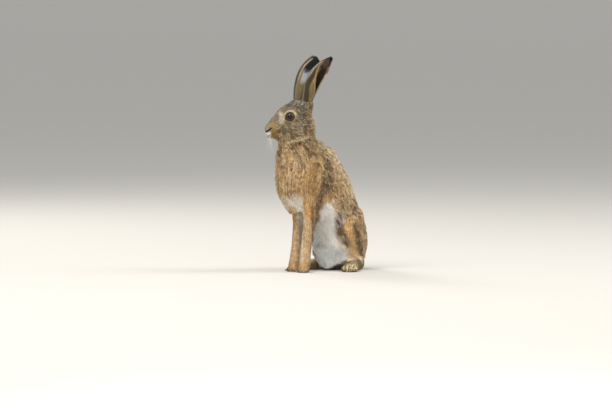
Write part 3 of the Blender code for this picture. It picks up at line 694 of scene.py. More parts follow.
points, normals = read_points(skin.data), read_normals(skin.data)
hair_sizes = lie_of_hair(points)[1]
write_points(skin.data, points - normals * hair_sizes[:, 1:2] * 0.92)
modified(skin, "SMOOTH", factor=0.5, iterations=4)


def refine(piece, chosen):
    """Halves the edges of the faces whose middles are chosen."""
    shape = bmesh.new()
    shape.from_mesh(piece.data)
    middles = np.array([face.calc_center_median() for face in shape.faces])
    wanted = chosen((middles - ORIGIN) / MM)
    edges = {edge for face, keep in zip(shape.faces, wanted) if keep for edge in face.edges}
    bmesh.ops.subdivide_edges(shape, edges=list(edges), cuts=1, use_grid_fill=True)
    bmesh.ops.triangulate(shape, faces=[face for face in shape.faces if len(face.verts) > 4])
    shape.to_mesh(piece.data)
    shape.free()


def detailed(points):
    """The eyes, nose and mouth, where the skin needs fine edges."""
    left, back, up = in_head(points)
    away = [np.linalg.norm(points - EYE_CENTRES[side], axis=1) for side in (1, -1)]
    face = (back < -24) & (up > -52) & (up < -12)
    return (np.minimum(*away) < 17) | face


refine(skin, detailed)
print("skin with its finer face:", len(skin.data.vertices), "vertices")

# %% [markdown]
# The lids are a raised rim round each eye. The skin near an eye is moved along rays from the
# eyeball's centre: inside the rim it goes behind the ball, and outside it keeps a fold a
# millimetre proud that fades into the cheek and brow. The nostrils, the mouth, the split lip
# and the clefts between the toes are grooves along short lines.

# %% Folds and grooves
LID_RIM = 8.8
LID_PROUD = 1.0
NOSTRIL = [(-47.5, -30.0), (-45.0, -28.2), (-42.0, -26.2), (-38.6, -24.0)]
MOUTH = [(-47.0, -37.5), (-43.5, -41.5), (-38.0, -43.0), (-31.0, -42.5), (-25.0, -41.0)]
FORE_CLEFTS = (-7.25, 0.0, 7.25)
HIND_CLEFTS = (-8.9, 0.0, 8.9)
FOREPAW_ACROSS = 18.8


def nostril_mask(points):
    back, up = in_head(points)[1:]
    return 1.0 - rise(1.2, 2.3, near_path(back, up, NOSTRIL))


def mouth_mask(points):
    back, up = in_head(points)[1:]
    return 1.0 - rise(0.3, 1.3, near_path(back, up, MOUTH))


def split_mask(points):
    left, back, up = in_head(points)
    return (1.0 - rise(0.3, 1.1, np.abs(left))) * span(-40, -28, 1.5, up) * (1 - rise(-47, -44, back))


def cleft_mask(points):
    """The clefts between the toes of all four feet."""
    total = np.zeros(len(points))
    for side in (1, -1):
        ahead = -(points @ rearward(CHEST_TURN))
        across = points @ leftward(CHEST_TURN) - side * FOREPAW_ACROSS
        for cleft in FORE_CLEFTS:
            total = np.maximum(total, (1 - rise(0.3, 1.3, np.abs(across - cleft))) * rise(4, 9, ahead)
                               * (1 - rise(9, 13, points[:, 2])) * (np.abs(across) < 16))
        heel, forward, sideways, turn = foot_frame(side)
        ahead, across = (points - heel) @ forward, (points - heel) @ sideways
        for cleft in HIND_CLEFTS:
            total = np.maximum(total, (1 - rise(0.6, 1.8, np.abs(across - cleft))) * rise(76, 86, ahead)
                               * (1 - rise(11, 16, points[:, 2])) * (np.abs(across) < 19))
    return total


def shape_lids(points):
    for side in (1, -1):
        offset = points - EYE_CENTRES[side]
        away = np.linalg.norm(offset, axis=1)
        angle = np.degrees(np.arccos(np.clip((offset @ EYE_AXES[side]) / np.maximum(away, 1e-6), -1, 1)))
        rim = math.degrees(math.asin(LID_RIM / (EYE_RADIUS + LID_PROUD)))
        near = (away < 22) & (angle < 100)
        fold = EYE_RADIUS + LID_PROUD + 0.5 * span(rim + 3, rim + 12, 3, angle)
        share = rise(rim + 10, rim + 34, angle)
        target = fold * (1 - share) + away * share
        target = np.where(angle < rim, EYE_RADIUS - 0.8, target)
        points = np.where(near[:, None], EYE_CENTRES[side] + unit(offset) * target[:, None], points)
    return points


def shape_grooves(points, normals):
    depth = 2.0 * nostril_mask(points) + 1.1 * mouth_mask(points) + 1.2 * split_mask(points)
    depth += 2.2 * cleft_mask(points)
    return points - normals * depth[:, None]


points, normals = read_points(skin.data), read_normals(skin.data)
points = shape_lids(shape_grooves(points, normals))
write_points(skin.data, points)

# %% [markdown]
# An ear is a leaf that is rolled into a tube at its root and opens towards its tip. It is
# drawn from the same path and widths as the solid ear, on a much finer grid, as two faces a
# little over a millimetre apart. Any place on it is known by its share of the way up and its
# column from one edge, -1, to the other, 1.

# %% Ear leaves
EAR_PATHS = {
    1: [(13.0, 33.5, 31), (15.0, 36.5, 44), (17.5, 40, 57), (20, 43.5, 70), (22.5, 49, 83),
        (25, 56, 95), (27, 64.5, 105), (28.5, 74, 113), (29.5, 82, 118)],
    -1: [(-13.0, 18.5, 31), (-15.0, 20, 45), (-19, 24, 62), (-22, 28, 77), (-25, 34, 92),
         (-27, 41, 102), (-28, 49.5, 111), (-28.5, 56.5, 116)],
}
EAR_OPENS = {1: ((0.24, 0.97), (0.62, 0.78)), -1: ((-0.62, 0.78), (-0.62, 0.78))}
EAR_BASE_LEAF = [(0.0, 29.0, 163.0), (0.12, 31.0, 148.0), (0.28, 34.0, 114.0), (0.48, 34.0, 90.0)]
EAR_TIP_LEAVES = {
    1: [(0.66, 28.0, 76.0), (0.80, 17.0, 72.0), (0.90, 9.8, 66.0), (0.965, 5.2, 55.0), (1.0, 2.4, 35.0)],
    -1: [(0.66, 30.0, 72.0), (0.80, 24.0, 60.0), (0.90, 18.0, 50.0), (0.965, 11.5, 42.0), (1.0, 4.5, 30.0)],
}
EAR_INSET = 0.8
EAR_SKIN_THICK = 1.3
EAR_ROWS = 90
EAR_COLUMNS = 49


def smooth_rows(rows, steps):
    """Rows of numbers joined by a Catmull-Rom curve, with so many steps between each two."""
    rows = np.array(rows, float)
    ends = np.vstack([2 * rows[0] - rows[1], rows, 2 * rows[-1] - rows[-2]])
    made = []
    for a, b, c, d in zip(ends, ends[1:], ends[2:], ends[3:]):
        for t in np.arange(steps) / steps:
            line = 2 * b + (c - a) * t
            bend = (2 * a - 5 * b + 4 * c - d) * t**2 + (3 * b - a - 3 * c + d) * t**3
            made.append((line + bend) / 2)
    made.append(rows[-1])
    return np.array(made)


def ear_grid(side):
    """Middle places and outward ways of the leaf, on a grid of rows up it and columns across."""
    path = smooth_rows([on_head(*spot) for spot in EAR_PATHS[side]], 8)
    steps = np.linalg.norm(np.diff(path, axis=0), axis=1)
    along = np.concatenate([[0.0], np.cumsum(steps)]) / steps.sum()
    leaf = smooth_rows(EAR_BASE_LEAF + EAR_TIP_LEAVES[side], 6)
    low, high = (head_way(*opening, 0.0) for opening in EAR_OPENS[side])
    columns = np.linspace(-1.0, 1.0, EAR_COLUMNS)

    def spot_at(share):
        return np.array([np.interp(share, along, path[:, k]) for k in range(3)])

    middles, outs = [], []
    for share in np.linspace(0.0, 1.0, EAR_ROWS):
        ahead = unit(spot_at(min(share + 0.06, 1)) - spot_at(max(share - 0.06, 0)))
        opens = low + (high - low) * share
        mouth = unit(opens - ahead * (opens @ ahead))
        sideways = np.cross(ahead, mouth)
        half_width = max(np.interp(share, leaf[:, 0], leaf[:, 1]) - EAR_INSET, 1.2)
        roll = math.radians(np.interp(share, leaf[:, 0], leaf[:, 2]))
        radius = half_width / roll
        centre = spot_at(share) + mouth * radius * (1 + math.cos(roll)) / 2
        angles = (roll * columns)[:, None]
        out = sideways * np.sin(angles) - mouth * np.cos(angles)
        middles.append(centre + out * radius)
        outs.append(out)
    return np.array(middles), np.array(outs)


def ear_leaf(side):
    """The leaf as places and triangles, with share and column of each place."""
    middles, outs = ear_grid(side)
    columns = np.linspace(-1.0, 1.0, EAR_COLUMNS)
    thick = EAR_SKIN_THICK * (1 - 0.55 * columns**6)[None, :, None] / 2
    outer, inner = middles + outs * thick, middles - outs * thick
    count = EAR_ROWS * EAR_COLUMNS
    index = np.arange(count).reshape(EAR_ROWS, EAR_COLUMNS)
    a, b = index[:-1, :-1].ravel(), index[:-1, 1:].ravel()
    d, e = index[1:, :-1].ravel(), index[1:, 1:].ravel()
    faces = [np.stack(f, 1) for f in ((a, b, e), (a, e, d))]
    faces += [np.stack(f, 1) + count for f in ((a, e, b), (a, d, e))]
    rim = [*index[0], *index[1:, -1], *index[-1, -2::-1], *index[-2:0:-1, 0]]
    rim = np.array(rim)
    after = np.roll(rim, -1)
    faces += [np.stack((after, rim, rim + count), 1), np.stack((after, rim + count, after + count), 1)]
    return np.vstack([outer.reshape(-1, 3), inner.reshape(-1, 3)]), np.vstack(faces)


EARS = {side: ear_grid(side) for side in (1, -1)}
print("ear leaves", {side: [round(float(x)) for x in np.ptp(EARS[side][0].reshape(-1, 3), axis=0)] for side in EARS})

# %% [markdown]
# The markings are a function of place, so that skin and hair agree. The first colour comes
# with the kind of hair. Then soft bands are laid over it, one after the other. They are drawn
# as on a flat view of the left front: millimetres across from the point between the forepaws
# and up from the ground, with a half width at each stop. The far side repeats them, mirrored
# in the trunk's own mid plane, and surfaces that face away keep the first colour. Some bands
# are painted light and shade: a pale rim along the outline of chest, nape and back, and dark
# shade in the creases and clefts of the legs and belly.

# %% Markings of the body, with painted light and shade
SIDE_VIEW = np.array((0.7071, -0.7071, 0.0))
BODY_BANDS = [
    # colour, strength, softness, how spotted, stops of the band
    ("a3854f", 0.8, 3.0, 0.2, [(21, 344, 2.5), (23, 316, 3), (27, 290, 3.5), (28, 270, 4), (36, 246, 4)]),
    ("6d553e", 0.7, 5.0, 0.8, [(34, 258, 5), (48, 240, 7)]),
    ("94703f", 0.75, 6.0, 0.1, [(28, 216, 7), (26, 190, 10), (25, 164, 8)]),
    ("967a5a", 0.6, 5.0, 0.6, [(-8, 222, 7), (8, 224, 7)]),
    # Painted highlight: a pale rim of light along the chest's left outline.
    ("dcbd90", 0.9, 5.0, 0.1, [(-44, 252, 4), (-48, 224, 5), (-50, 196, 5), (-45, 160, 4)]),
    # Painted highlight: a pale rim of light along the nape and back outline.
    ("d9bd92", 0.6, 7.0, 0.2, [(42, 264, 4), (54, 240, 6), (78, 196, 7), (96, 160, 6)]),
    ("755a38", 0.6, 7.0, 0.3, [(4, 246, 6), (22, 236, 8)]),
    ("48341f", 0.85, 5.0, 0.45, [(50, 236, 3), (54, 210, 8), (55, 186, 10), (48, 166, 8), (38, 152, 6)]),
    ("6a4d30", 0.85, 3.5, 0.2, [(40, 152, 6), (35, 130, 6), (30, 104, 4)]),
    ("b78e6a", 0.7, 4.0, 0.2, [(-20, 170, 5), (-6, 169, 6)]),
    ("ead2b4", 0.9, 4.0, 0.1, [(-32, 154, 6), (-24, 120, 7)]),
    ("e9e1d2", 0.95, 7.0, 0.25, [(-20, 152, 7), (-10, 150, 12), (-2, 142, 13), (3, 126, 9), (4, 104, 6)]),
    # Painted shade: a grey line down between the forelegs.
    ("a9a398", 0.6, 2.0, 0.3, [(0, 104, 3), (0, 60, 2.5)]),
    ("dba468", 0.8, 4.0, 0.0, [(-15, 128, 5), (-15, 96, 5)]),
    ("dba565", 0.8, 4.0, 0.1, [(16, 142, 8), (18, 116, 8)]),
    ("f3e3c4", 0.7, 2.0, 0.1, [(5, 112, 2), (5, 24, 2.5)]),
    ("e8e5de", 0.97, 4.0, 0.0, [(56, 138, 5), (55, 122, 13), (52, 98, 19), (50, 70, 20), (48, 40, 19)]),
    ("e2bd94", 0.7, 5.0, 0.1, [(66, 146, 7), (72, 124, 7)]),
    ("65472a", 0.7, 2.0, 0.2, [(25, 136, 2.5), (25, 64, 2)]),
    ("c99f69", 0.8, 1.5, 0.1, [(30, 128, 2.5), (30, 92, 2)]),
    ("967d57", 0.7, 7.0, 0.5, [(78, 140, 8), (106, 132, 12), (116, 116, 8)]),
    # The near inner thigh: brown fur, darkened further as painted shade in the fold by the knee.
    ("64461f", 0.95, 5.0, 0.35, [(72, 122, 5), (74, 110, 9), (80, 92, 9.5), (85, 76, 8.5), (95, 57, 4)]),
    ("d9aa6e", 0.8, 4.0, 0.1, [(96, 108, 6), (99, 90, 7), (104, 70, 5), (110, 44, 5)]),
    # Painted shade: a dark line in the crease above the near knee.
    ("5a422a", 0.6, 2.5, 0.1, [(82, 122, 1.5), (95, 118, 1.5)]),
    # Painted shade: a dark stripe in the cleft between the near shank and the haunch.
    ("4e3114", 0.9, 3.5, 0.1, [(108, 106, 2), (113, 84, 4.5), (118, 58, 6.5), (122, 38, 4.5)]),
    ("c39e70", 0.7, 3.0, 0.3, [(120, 120, 4), (128, 88, 4), (131, 50, 4)]),
    # Painted shade: a grey crease between the belly and the far thigh.
    ("97938a", 0.5, 4.0, 0.2, [(40, 60, 4), (62, 56, 4)]),
    # White fur of the far inner thigh, painted blue-grey for the shade it lies in.
    ("cfd4d2", 0.95, 5.0, 0.0, [(52, 42, 8), (70, 38, 10), (88, 34, 7)]),
    ("fce0b4", 0.9, 5.0, 0.0, [(82, 14, 13), (122, 18, 13)]),
    # Painted shade: a dark brown patch behind the near forepaw, where the far hind foot lies in shade.
    ("4f3a28", 0.9, 3.0, 0.2, [(28, 48, 4), (32, 28, 7), (32, 8, 8)]),
]
WAVES = [(-24, 236, 10), (10, 232, 14), (34, 222, 8)]


def over(base, mask, code, strength=1.0):
    """base with a colour laid over it where mask is 1."""
    share = np.clip(mask * strength, 0, 1)[:, None]
    return base * (1 - share) + colour(code) * share


def mirrored(points, normals):
    """How far points lie to the left of the body's mid plane, and both arrays mirrored in it.

    The forelegs follow the turn of the chest, and what lies behind them that of the trunk.
    """
    rows = np.array(TRUNK_TUBE[::-1], float)
    chest = (1 - rise(30, 60, points[:, 1])) * (1 - rise(130, 160, points[:, 2]))
    spots = [np.interp(points[:, 2], rows[:, 2], rows[:, k]) * (1 - chest) for k in (0, 1, 3)]
    middle, turn = np.stack(spots[:2], 1), np.radians(spots[2] + CHEST_TURN * chest)
    left = np.stack([np.cos(turn), -np.sin(turn), 0 * turn], 1)
    lateral = ((points[:, :2] - middle) * left[:, :2]).sum(1)
    turned = normals - 2 * (normals * left).sum(1)[:, None] * left
    return lateral, points - 2 * lateral[:, None] * left, turned


def banded(points, normals, base):
    """The body's bands laid over base."""
    x, y, z = points.T
    across, up = (x + y) * 0.7071, z + 0.037 * (y - x)
    facing = rise(-0.25, 0.2, normals @ SIDE_VIEW)
    blotch = rise(-0.2, 0.7, ripple(points, 9, 12))
    shade = base
    for code, strength, soft, spotted, path in BODY_BANDS:
        mask = within(across, up, path, soft)
        shade = over(shade, mask * facing * (1 - spotted * blotch), code, strength)
    wave = np.sin((up + 5 * ripple(points, 26, 14)) * math.tau / 8.5)
    return shade * (1 + 0.24 * wave * within(across, up, WAVES, 8) * facing)[:, None]


def body_markings_and_light(points, normals, base):
    lateral, twins, twin_normals = mirrored(points, normals)
    far = rise(30, 44, -lateral)[:, None]
    shade = banded(points, normals, base) * (1 - far) + banded(twins, twin_normals, base) * far
    # The white of the belly goes on under the body, between the hind legs.
    under = (1 - rise(50, 80, points[:, 2])) * rise(0.0, 0.5, -normals[:, 2]) * (np.abs(lateral) < 34)
    return over(shade, under * rise(30, 50, points[:, 1]), "dedfdd", 0.9)


def tail_markings(points, normals, shade):
    away = np.linalg.norm(points - np.array((-22, 170, 22)), axis=1)
    near = (1 - rise(38, 46, away)) * rise(142, 150, points[:, 1])
    top = rise(0.1, 0.5, normals[:, 2] + 0.5 * normals[:, 1])
    return over(shade, near * top, "2b2724", 0.95)


# %% [markdown]
# The head carries the finest markings. Those of its sides are bands again, in millimetres back
# and up from the point between the eyes, the same on both sides. Round each eye they follow
# the distance from the eye's axis: dark lids, a pale crescent above and a pale line below.
# The nostril slits and the mouth line are painted dark, as painted shade in these grooves.

# %% Markings of the head, with painted shade in the nostrils and mouth
HEAD_BANDS = [
    # colour, strength, softness, stops of the band
    ("8d7d66", 0.6, 6.0, [(4, -14, 8), (14, -20, 10)]),
    ("4f4634", 0.8, 6.0, [(19, 6, 8), (28, -4, 9), (31, -14, 7)]),
    ("4f413c", 0.9, 2.5, [(-7, 22, 3), (6, 21, 3.5)]),
    ("665f55", 0.6, 5.0, [(8, 31, 4), (22, 30, 9)]),
    ("d6c9ae", 0.95, 3.5, [(-21, 4, 4), (-17, -4, 6), (-20, -11, 4)]),
    ("a98f54", 0.95, 3.0, [(-37, -20, 4), (-30, -22, 4.5)]),
    ("916f38", 0.95, 4.0, [(-35, -33, 5), (-29, -34, 5.5)]),
    ("84643a", 0.9, 3.0, [(-23, -27, 3.5), (-21, -38, 4)]),
    ("4c4338", 0.65, 3.5, [(-14, -23, 3), (-11, -29, 2.5)]),
    ("eef0f3", 0.95, 1.8, [(-47, -35, 2.5), (-42, -33, 2)]),
    ("f3eee4", 0.95, 2.0, [(-40, -46, 2.5), (-30, -48, 3), (-25, -49, 2.5)]),
    ("cdb88d", 0.7, 2.2, [(-4, -47, 1.5), (18, -42, 1.8), (33, -35, 1.6)]),
    ("593f24", 0.9, 1.8, [(2, -52, 2.2), (22, -47, 2.4), (38, -40, 2)]),
]
SPECKLED = [(4, 29, 5), (20, 30, 8), (22, 18, 6)]


def head_spot(points, centre, radii, edge=0.4):
    """A soft ellipsoid on both sides of the head."""
    left, back, up = in_head(points)
    place = np.stack([np.abs(left), back, up], 1)
    size = np.linalg.norm((place - np.array(centre)) / np.array(radii), axis=1)
    return 1.0 - rise(1 - edge, 1 + edge, size)


def eye_markings(points, shade, near, side):
    """The lids and the pale and dark rings round one eye."""
    offset = points - EYE_CENTRES[side]
    along = offset @ EYE_AXES[side]
    ring = np.linalg.norm(offset - along[:, None] * EYE_AXES[side], axis=1)
    front, up = offset @ -rearward(HEAD_TURN), offset[:, 2]
    near = near * (along > 0)
    shade = over(shade, near * span(14.5, 16.5, 1.2, ring) * rise(2, 10, up), "5a4c3f", 0.6)
    shade = over(shade, near * span(9.2, 12.2, 1.0, ring) * rise(-1, 4, up), "dfcba2", 0.9)
    shade = over(shade, near * span(12.0, 14.5, 1.2, ring) * rise(2, 7, -up), "66523c", 0.75)
    shade = over(shade, near * span(9.2, 11.4, 0.9, ring) * rise(0, 3, -up), "bda780", 0.8)
    shade = over(shade, near * within(-front, up, [(9, -5, 1.2), (12, -8, 1.5)], 1.2), "4d3b29", 0.85)
    shade = over(shade, near * within(-front, up, [(-8, -2, 1.6), (-12, -4, 0.8)], 1.0), "1c1410", 0.95)
    return over(shade, near * (1 - rise(8.6, 9.5, ring)), "1c1410", 1.0)


def head_markings_and_shade(points, normals, base):
    left, back, up = in_head(points)
    on_the_head = (1 - rise(38, 48, back)) * rise(-62, -54, up) * rise(250, 262, points[:, 2])
    sideways = rise(0.0, 0.4, np.abs(normals @ leftward(HEAD_TURN)))
    shade = over(base, head_spot(points, (6, -20, 14), (16, 22, 12)), "8a7763", 0.8)
    shade = over(shade, head_spot(points, (0, -42, -12), (9, 10, 14)), "8f8562", 0.85)
    for code, strength, soft, path in HEAD_BANDS:
        shade = over(shade, within(back, up, path, soft) * sideways, code, strength)
    speckle, speckled = ripple(points, 4.5, 61), within(back, up, SPECKLED, 5)
    shade = over(shade, speckled * rise(0.1, 0.7, speckle), "2d251e", 0.7)
    shade = over(shade, speckled * rise(0.3, 0.9, -speckle), "c9bda6", 0.6)
    shade = over(shade, head_spot(points, (0, -44, -46), (12, 14, 7)), "ece8e0", 0.95)
    shade = over(shade, head_spot(points, (5, -49, -36), (7, 5, 6)), "ebe6dc", 0.9)
    for side in (1, -1):
        shade = eye_markings(points, shade, on_the_head, side)
    # Painted shade: the nostril slits near black and the mouth line dark, for the shade in these grooves.
    shade = over(shade, nostril_mask(points), "120d0b", 1.0)
    shade = over(shade, mouth_mask(points) * rise(-50, -47, -back) * 0.8, "3b2d22", 0.8)
    share = on_the_head[:, None]
    return shade * share + base * (1 - share)


def markings(points, normals, base):
    shade = body_markings_and_light(points, normals, base)
    shade = tail_markings(points, normals, shade)
    shade = head_markings_and_shade(points, normals, shade)
    # Painted shade in the clefts between the toes.
    return over(shade, cleft_mask(points), "4a3726", 0.85)


# %% [markdown]
# The back of an ear is grey-brown on the side towards the crown and dark along its front,
# with a cream line between, and its tip is blue-black. The inside is dark with an ochre
# streak, and both edges carry a pale fringe. Halfway up, a bluish sheen is painted over the
# grey of the back, as a painted reflection of the sky.

# %% Markings of the ears, with a painted sheen
# The cream line on the back of each ear: its place across the leaf for shares of its length.
EAR_LINES = {
    1: ((0.0, 0.30, 0.42, 0.54, 0.74, 1.0), (-0.26, -0.28, -0.40, -0.60, -0.80, -0.88)),
    -1: ((0.0, 0.5, 0.8, 1.0), (0.04, 0.0, -0.14, -0.22)),
}


def ear_markings_and_sheen(share, medial, inside, side):
    """Colours on an ear: share up it, medial from -1 at its outer edge to 1, inside or not."""
    place = np.stack([share * 130, medial * 30, share * 0], 1)
    wave = 0.03 * ripple(place, 18, 5)
    past = medial - np.interp(share, *EAR_LINES[side])
    outer = np.tile(colour("746748"), (len(share), 1))
    outer = over(outer, rise(0.26, 0.42, share + wave) * rise(0.08, 0.3, past), "b2b4b0", 0.95)
    # Painted reflection: a bluish sheen of the sky on the grey of the ear's back.
    outer = over(outer, span(0.44, 0.66, 0.05, share) * rise(0.2, 0.4, past), "9298a4", 0.5)
    outer = over(outer, 1 - rise(-0.52, -0.40, past), "8c774d", 0.9)
    outer = over(outer, (1 - rise(-0.94, -0.86, medial)) * span(0.42, 0.7, 0.05, share), "c39c56", 0.8)
    outer = over(outer, span(-0.44, -0.07, 0.06, past), "3c3022", 0.88)
    outer = over(outer, span(-0.05, 0.06, 0.04, past) * (0.2 + 0.8 * rise(0.30, 0.46, share)), "c4b18b", 0.8)
    tip = rise(0.60, 0.69, share + wave + 0.05 * rise(0.1, 0.5, past))
    outer = over(outer, tip * rise(0.06, 0.2, past), "0a0a13", 1.0)
    outer = over(outer, rise(0.88, 0.93, share), "0b0b12", 1.0)
    inner = np.tile(colour("33261f"), (len(share), 1))
    inner = over(inner, 1 - rise(-0.75, -0.3, medial), "8d7656", 0.7)
    inner = over(inner, span(0.15, 0.53, 0.06, medial) * span(0.40, 0.68, 0.06, share), "b08a48", 0.85)
    inner = over(inner, rise(0.68, 0.8, share) * (1 - rise(0.8, 1.0, medial)), "77605a", 0.8)
    inner = over(inner, rise(0.86, 0.95, medial), "6b5440", 0.7)
    inner = over(inner, rise(0.90, 0.95, share), "1a171c", 1.0)
    return np.where(inside[:, None], inner, outer)


# %% [markdown]
# The ears are joined to the skin, so that one piece stands for all the flesh. Its material
# reads the painted colour and adds fine streaks of shade and a bump like close fur, for the
# places where it shows between the tufts.

# %% Finished skin
def fur_finish(name, roughness, streak):
    finish = Finish(name, Sheen_Weight=0.08, Sheen_Roughness=0.5, Specular_IOR_Level=0.22)
    painted = finish.node("ShaderNodeVertexColor", {"layer_name": "markings"})
    grain = finish.node("ShaderNodeTexNoise", None, {"Scale": streak, "Detail": 4.0, "Roughness": 0.6})
    shaded = finish.blended(1.0, painted, finish.node(
        "ShaderNodeValToRGB", {"stops": [(0.3, (0.72, 0.72, 0.72)), (0.7, (1.12, 1.12, 1.12))]}, {0: grain}), "MULTIPLY")
    bump = finish.node("ShaderNodeBump", None, {"Strength": 0.25, "Distance": 0.0004, "Height": grain})
    return finish.surface(Base_Color=shaded, Roughness=roughness + 0.1 * grain, Normal=bump)


SKIN_FINISH = fur_finish("fur_skin", 0.72, 420.0)
COAT_FINISH = fur_finish("fur_coat", 0.62, 260.0)


def finish_skin():
    points, normals = read_points(skin.data), read_normals(skin.data)
    way, sizes, base = lie_of_hair(points)
    shade = markings(points, normals, base) * 0.62
    triangles = read_triangles(skin.data)
    count = len(points)
    columns = np.tile(np.linspace(-1, 1, EAR_COLUMNS), EAR_ROWS)
    shares = np.repeat(np.linspace(0, 1, EAR_ROWS), EAR_COLUMNS)
    all_points, all_faces, all_shades = [points], [triangles], [shade]
    for side in (1, -1):
        places, leaf_faces = ear_leaf(side)
        all_points.append(places)
        all_faces.append(leaf_faces + count)
        for inside in (False, True):
            all_shades.append(ear_markings_and_sheen(shares, columns * side, np.full(len(shares), inside), side) * 0.7)
        count += len(places)
    whole = mesh_from("skin_of_the_hare", np.vstack(all_points), np.vstack(all_faces))
    paint(whole, "markings", np.vstack(all_shades))
    whole.data.materials.append(SKIN_FINISH)
    return whole, points, normals, triangles, way, sizes, base


whole_skin, skin_points, skin_normals, skin_triangles, hair_way, hair_sizes, hair_base = finish_skin()
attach(whole_skin, "root")
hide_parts(*FLESH_NODES, *EAR_NODES)
print("skin with ears:", len(whole_skin.data.polygons), "triangles")

# %% [markdown]
# Each tuft gets its own small patch of a picture, into which the coat's colours can be baked.
# The skin's shape is thinned and unwrapped once, and a tuft's patch goes where its root lies
# on that unwrap.

# %% Unwrap of the skin
PATCH = 0.003


def unwrap_of(piece, ratio):
    """A thinned copy of piece with its unwrap, as a search tree, triangles and their corners."""
    copy = bpy.data.objects.new("unwrap", piece.data.copy())
    bpy.context.scene.collection.objects.link(copy)
    modified(copy, "DECIMATE", ratio=ratio)
    bpy.context.view_layer.objects.active = copy
    copy.select_set(True)
    bpy.ops.object.mode_set(mode="EDIT")
    bpy.ops.mesh.select_all(action="SELECT")
    bpy.ops.mesh.quads_convert_to_tris()
    bpy.ops.uv.smart_project(angle_limit=math.radians(66), island_margin=0.004)
    bpy.ops.object.mode_set(mode="OBJECT")
    flat = np.empty(len(copy.data.loops) * 2, np.float32)
    copy.data.uv_layers.active.data.foreach_get("uv", flat)
    corners = flat.reshape(-1, 3, 2)
    points = read_points(copy.data)
    triangles = read_triangles(copy.data)
    bpy.data.objects.remove(copy)
    tree = BVHTree.FromPolygons(points.tolist(), triangles.tolist())
    return tree, points, triangles, corners


unwrap = unwrap_of(whole_skin, 0.035)
print("unwrap of", len(unwrap[2]), "triangles")


def patches_for(roots):
    """The place of each root on the unwrap."""
    tree, points, triangles, corners = unwrap
    found = [tree.find_nearest(Vector(root)) for root in roots]
    spots = np.array([hit[0] for hit in found])
    index = np.array([hit[2] for hit in found])
    a, b, c = (points[triangles[index, k]] for k in range(3))
    first, second, third = b - a, c - a, spots - a
    d00, d01, d11 = (first * first).sum(1), (first * second).sum(1), (second * second).sum(1)
    d20, d21 = (third * first).sum(1), (third * second).sum(1)
    scale = np.maximum(d00 * d11 - d01**2, 1e-12)
    v, w = (d11 * d20 - d01 * d21) / scale, (d00 * d21 - d01 * d20) / scale
    u = 1 - v - w
    return u[:, None] * corners[index, 0] + v[:, None] * corners[index, 1] + w[:, None] * corners[index, 2]


# %% [markdown]
# A tuft is a thin curved strip of five triangles: it leaves the skin at a slant, bends over
# and runs out to a point along the body. Its root is darker than its tip, and hares are
# ticked, so some tufts end dark and some pale. Neighbours draw together into locks, which
# opens small gaps between them, and the tufts at a lock's edge are painted darker as
# painted shade in those gaps.

# %% Tufts
TUFT_ROWS = np.array((0.0, 0.38, 0.74, 1.0))
TUFT_WIDTHS = np.array((0.55, 1.0, 0.72, 0.0))
TUFT_FACES = np.array([(0, 1, 3), (0, 3, 2), (2, 3, 5), (2, 5, 4), (4, 5, 6)])
MOST_TUFTS = 39000
FLOOR_CLEAR = 0.15
TUFTS_IN_LOCK = 13
LOCK_STRETCH = 3.0
SHARE = 1.0


def tuft_mesh(name, roots, normals, ways, sizes, roots_shade, tips_shade, draw):
    """A piece of the coat: one strip for each root."""
    count = len(roots)
    length, height, width = sizes.T[:3]
    reach = np.sqrt(np.maximum(length**2 - height**2, 0.2))
    across = unit(np.cross(ways, normals))
    roll = draw.normal(0, 0.45, count)
    side = across * np.cos(roll)[:, None] + normals * np.sin(roll)[:, None]
    bend = draw.normal(0, 0.10, count)
    places = np.empty((count, 7, 3))
    facing = np.empty((count, 7, 3))
    shades = np.empty((count, 7, 3))
    slot_of = 0
    for t, wide in zip(TUFT_ROWS, TUFT_WIDTHS):
        climb = 1 - (1 - t) ** 1.7
        middle = roots + ways * (reach * t)[:, None] + normals * (height * climb - 0.25)[:, None]
        middle += across * (bend * length * t**2)[:, None]
        shade = roots_shade + (tips_shade - roots_shade) * min(1.0, t * 1.25)
        way_out = unit(normals - ways * (0.5 * (1 - t)))
        for end in ((-1, 1) if wide else (0,)):
            places[:, slot_of] = middle + side * (end * wide * width / 2)[:, None]
            facing[:, slot_of] = way_out + side * end * 0.25
            shades[:, slot_of] = shade
            slot_of += 1
    faces = (np.arange(count)[:, None, None] * 7 + TUFT_FACES[None]).reshape(-1, 3)
    flat = places.reshape(-1, 3)
    flat[:, 2] = np.maximum(flat[:, 2], FLOOR_CLEAR)
    a, b, c = (flat[faces[:, k]] for k in range(3))
    turned = (np.cross(b - a, c - a) * np.repeat(normals, 5, 0)).sum(1) < 0
    faces[turned] = faces[turned][:, ::-1]
    piece = mesh_from(name, flat, faces)
    paint(piece, "markings", shades.reshape(-1, 3))
    piece.data.normals_split_custom_set_from_vertices(unit(facing).reshape(-1, 3))
    patch = np.array([(-1, 0), (1, 0), (-1, 0.35), (1, 0.35), (-1, 0.7), (1, 0.7), (0, 1)]) * PATCH / 2
    places_uv = (patches_for(roots)[:, None, :] + patch[None]).reshape(-1, 2)
    layer = piece.data.uv_layers.new(name="OFBake")
    corners = np.empty(len(piece.data.loops), np.int32)
    piece.data.loops.foreach_get("vertex_index", corners)
    layer.data.foreach_set("uv", places_uv[corners].astype(np.float32).ravel())
    piece.data.materials.append(COAT_FINISH)
    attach(piece, "root")
    print(name, count, "tufts")
    return piece


# %% [markdown]
# Roots are drawn at random over the skin's triangles, as many to the square millimetre as the
# kind of hair asks. None grows on the eye, in the nostril or in the mouth.

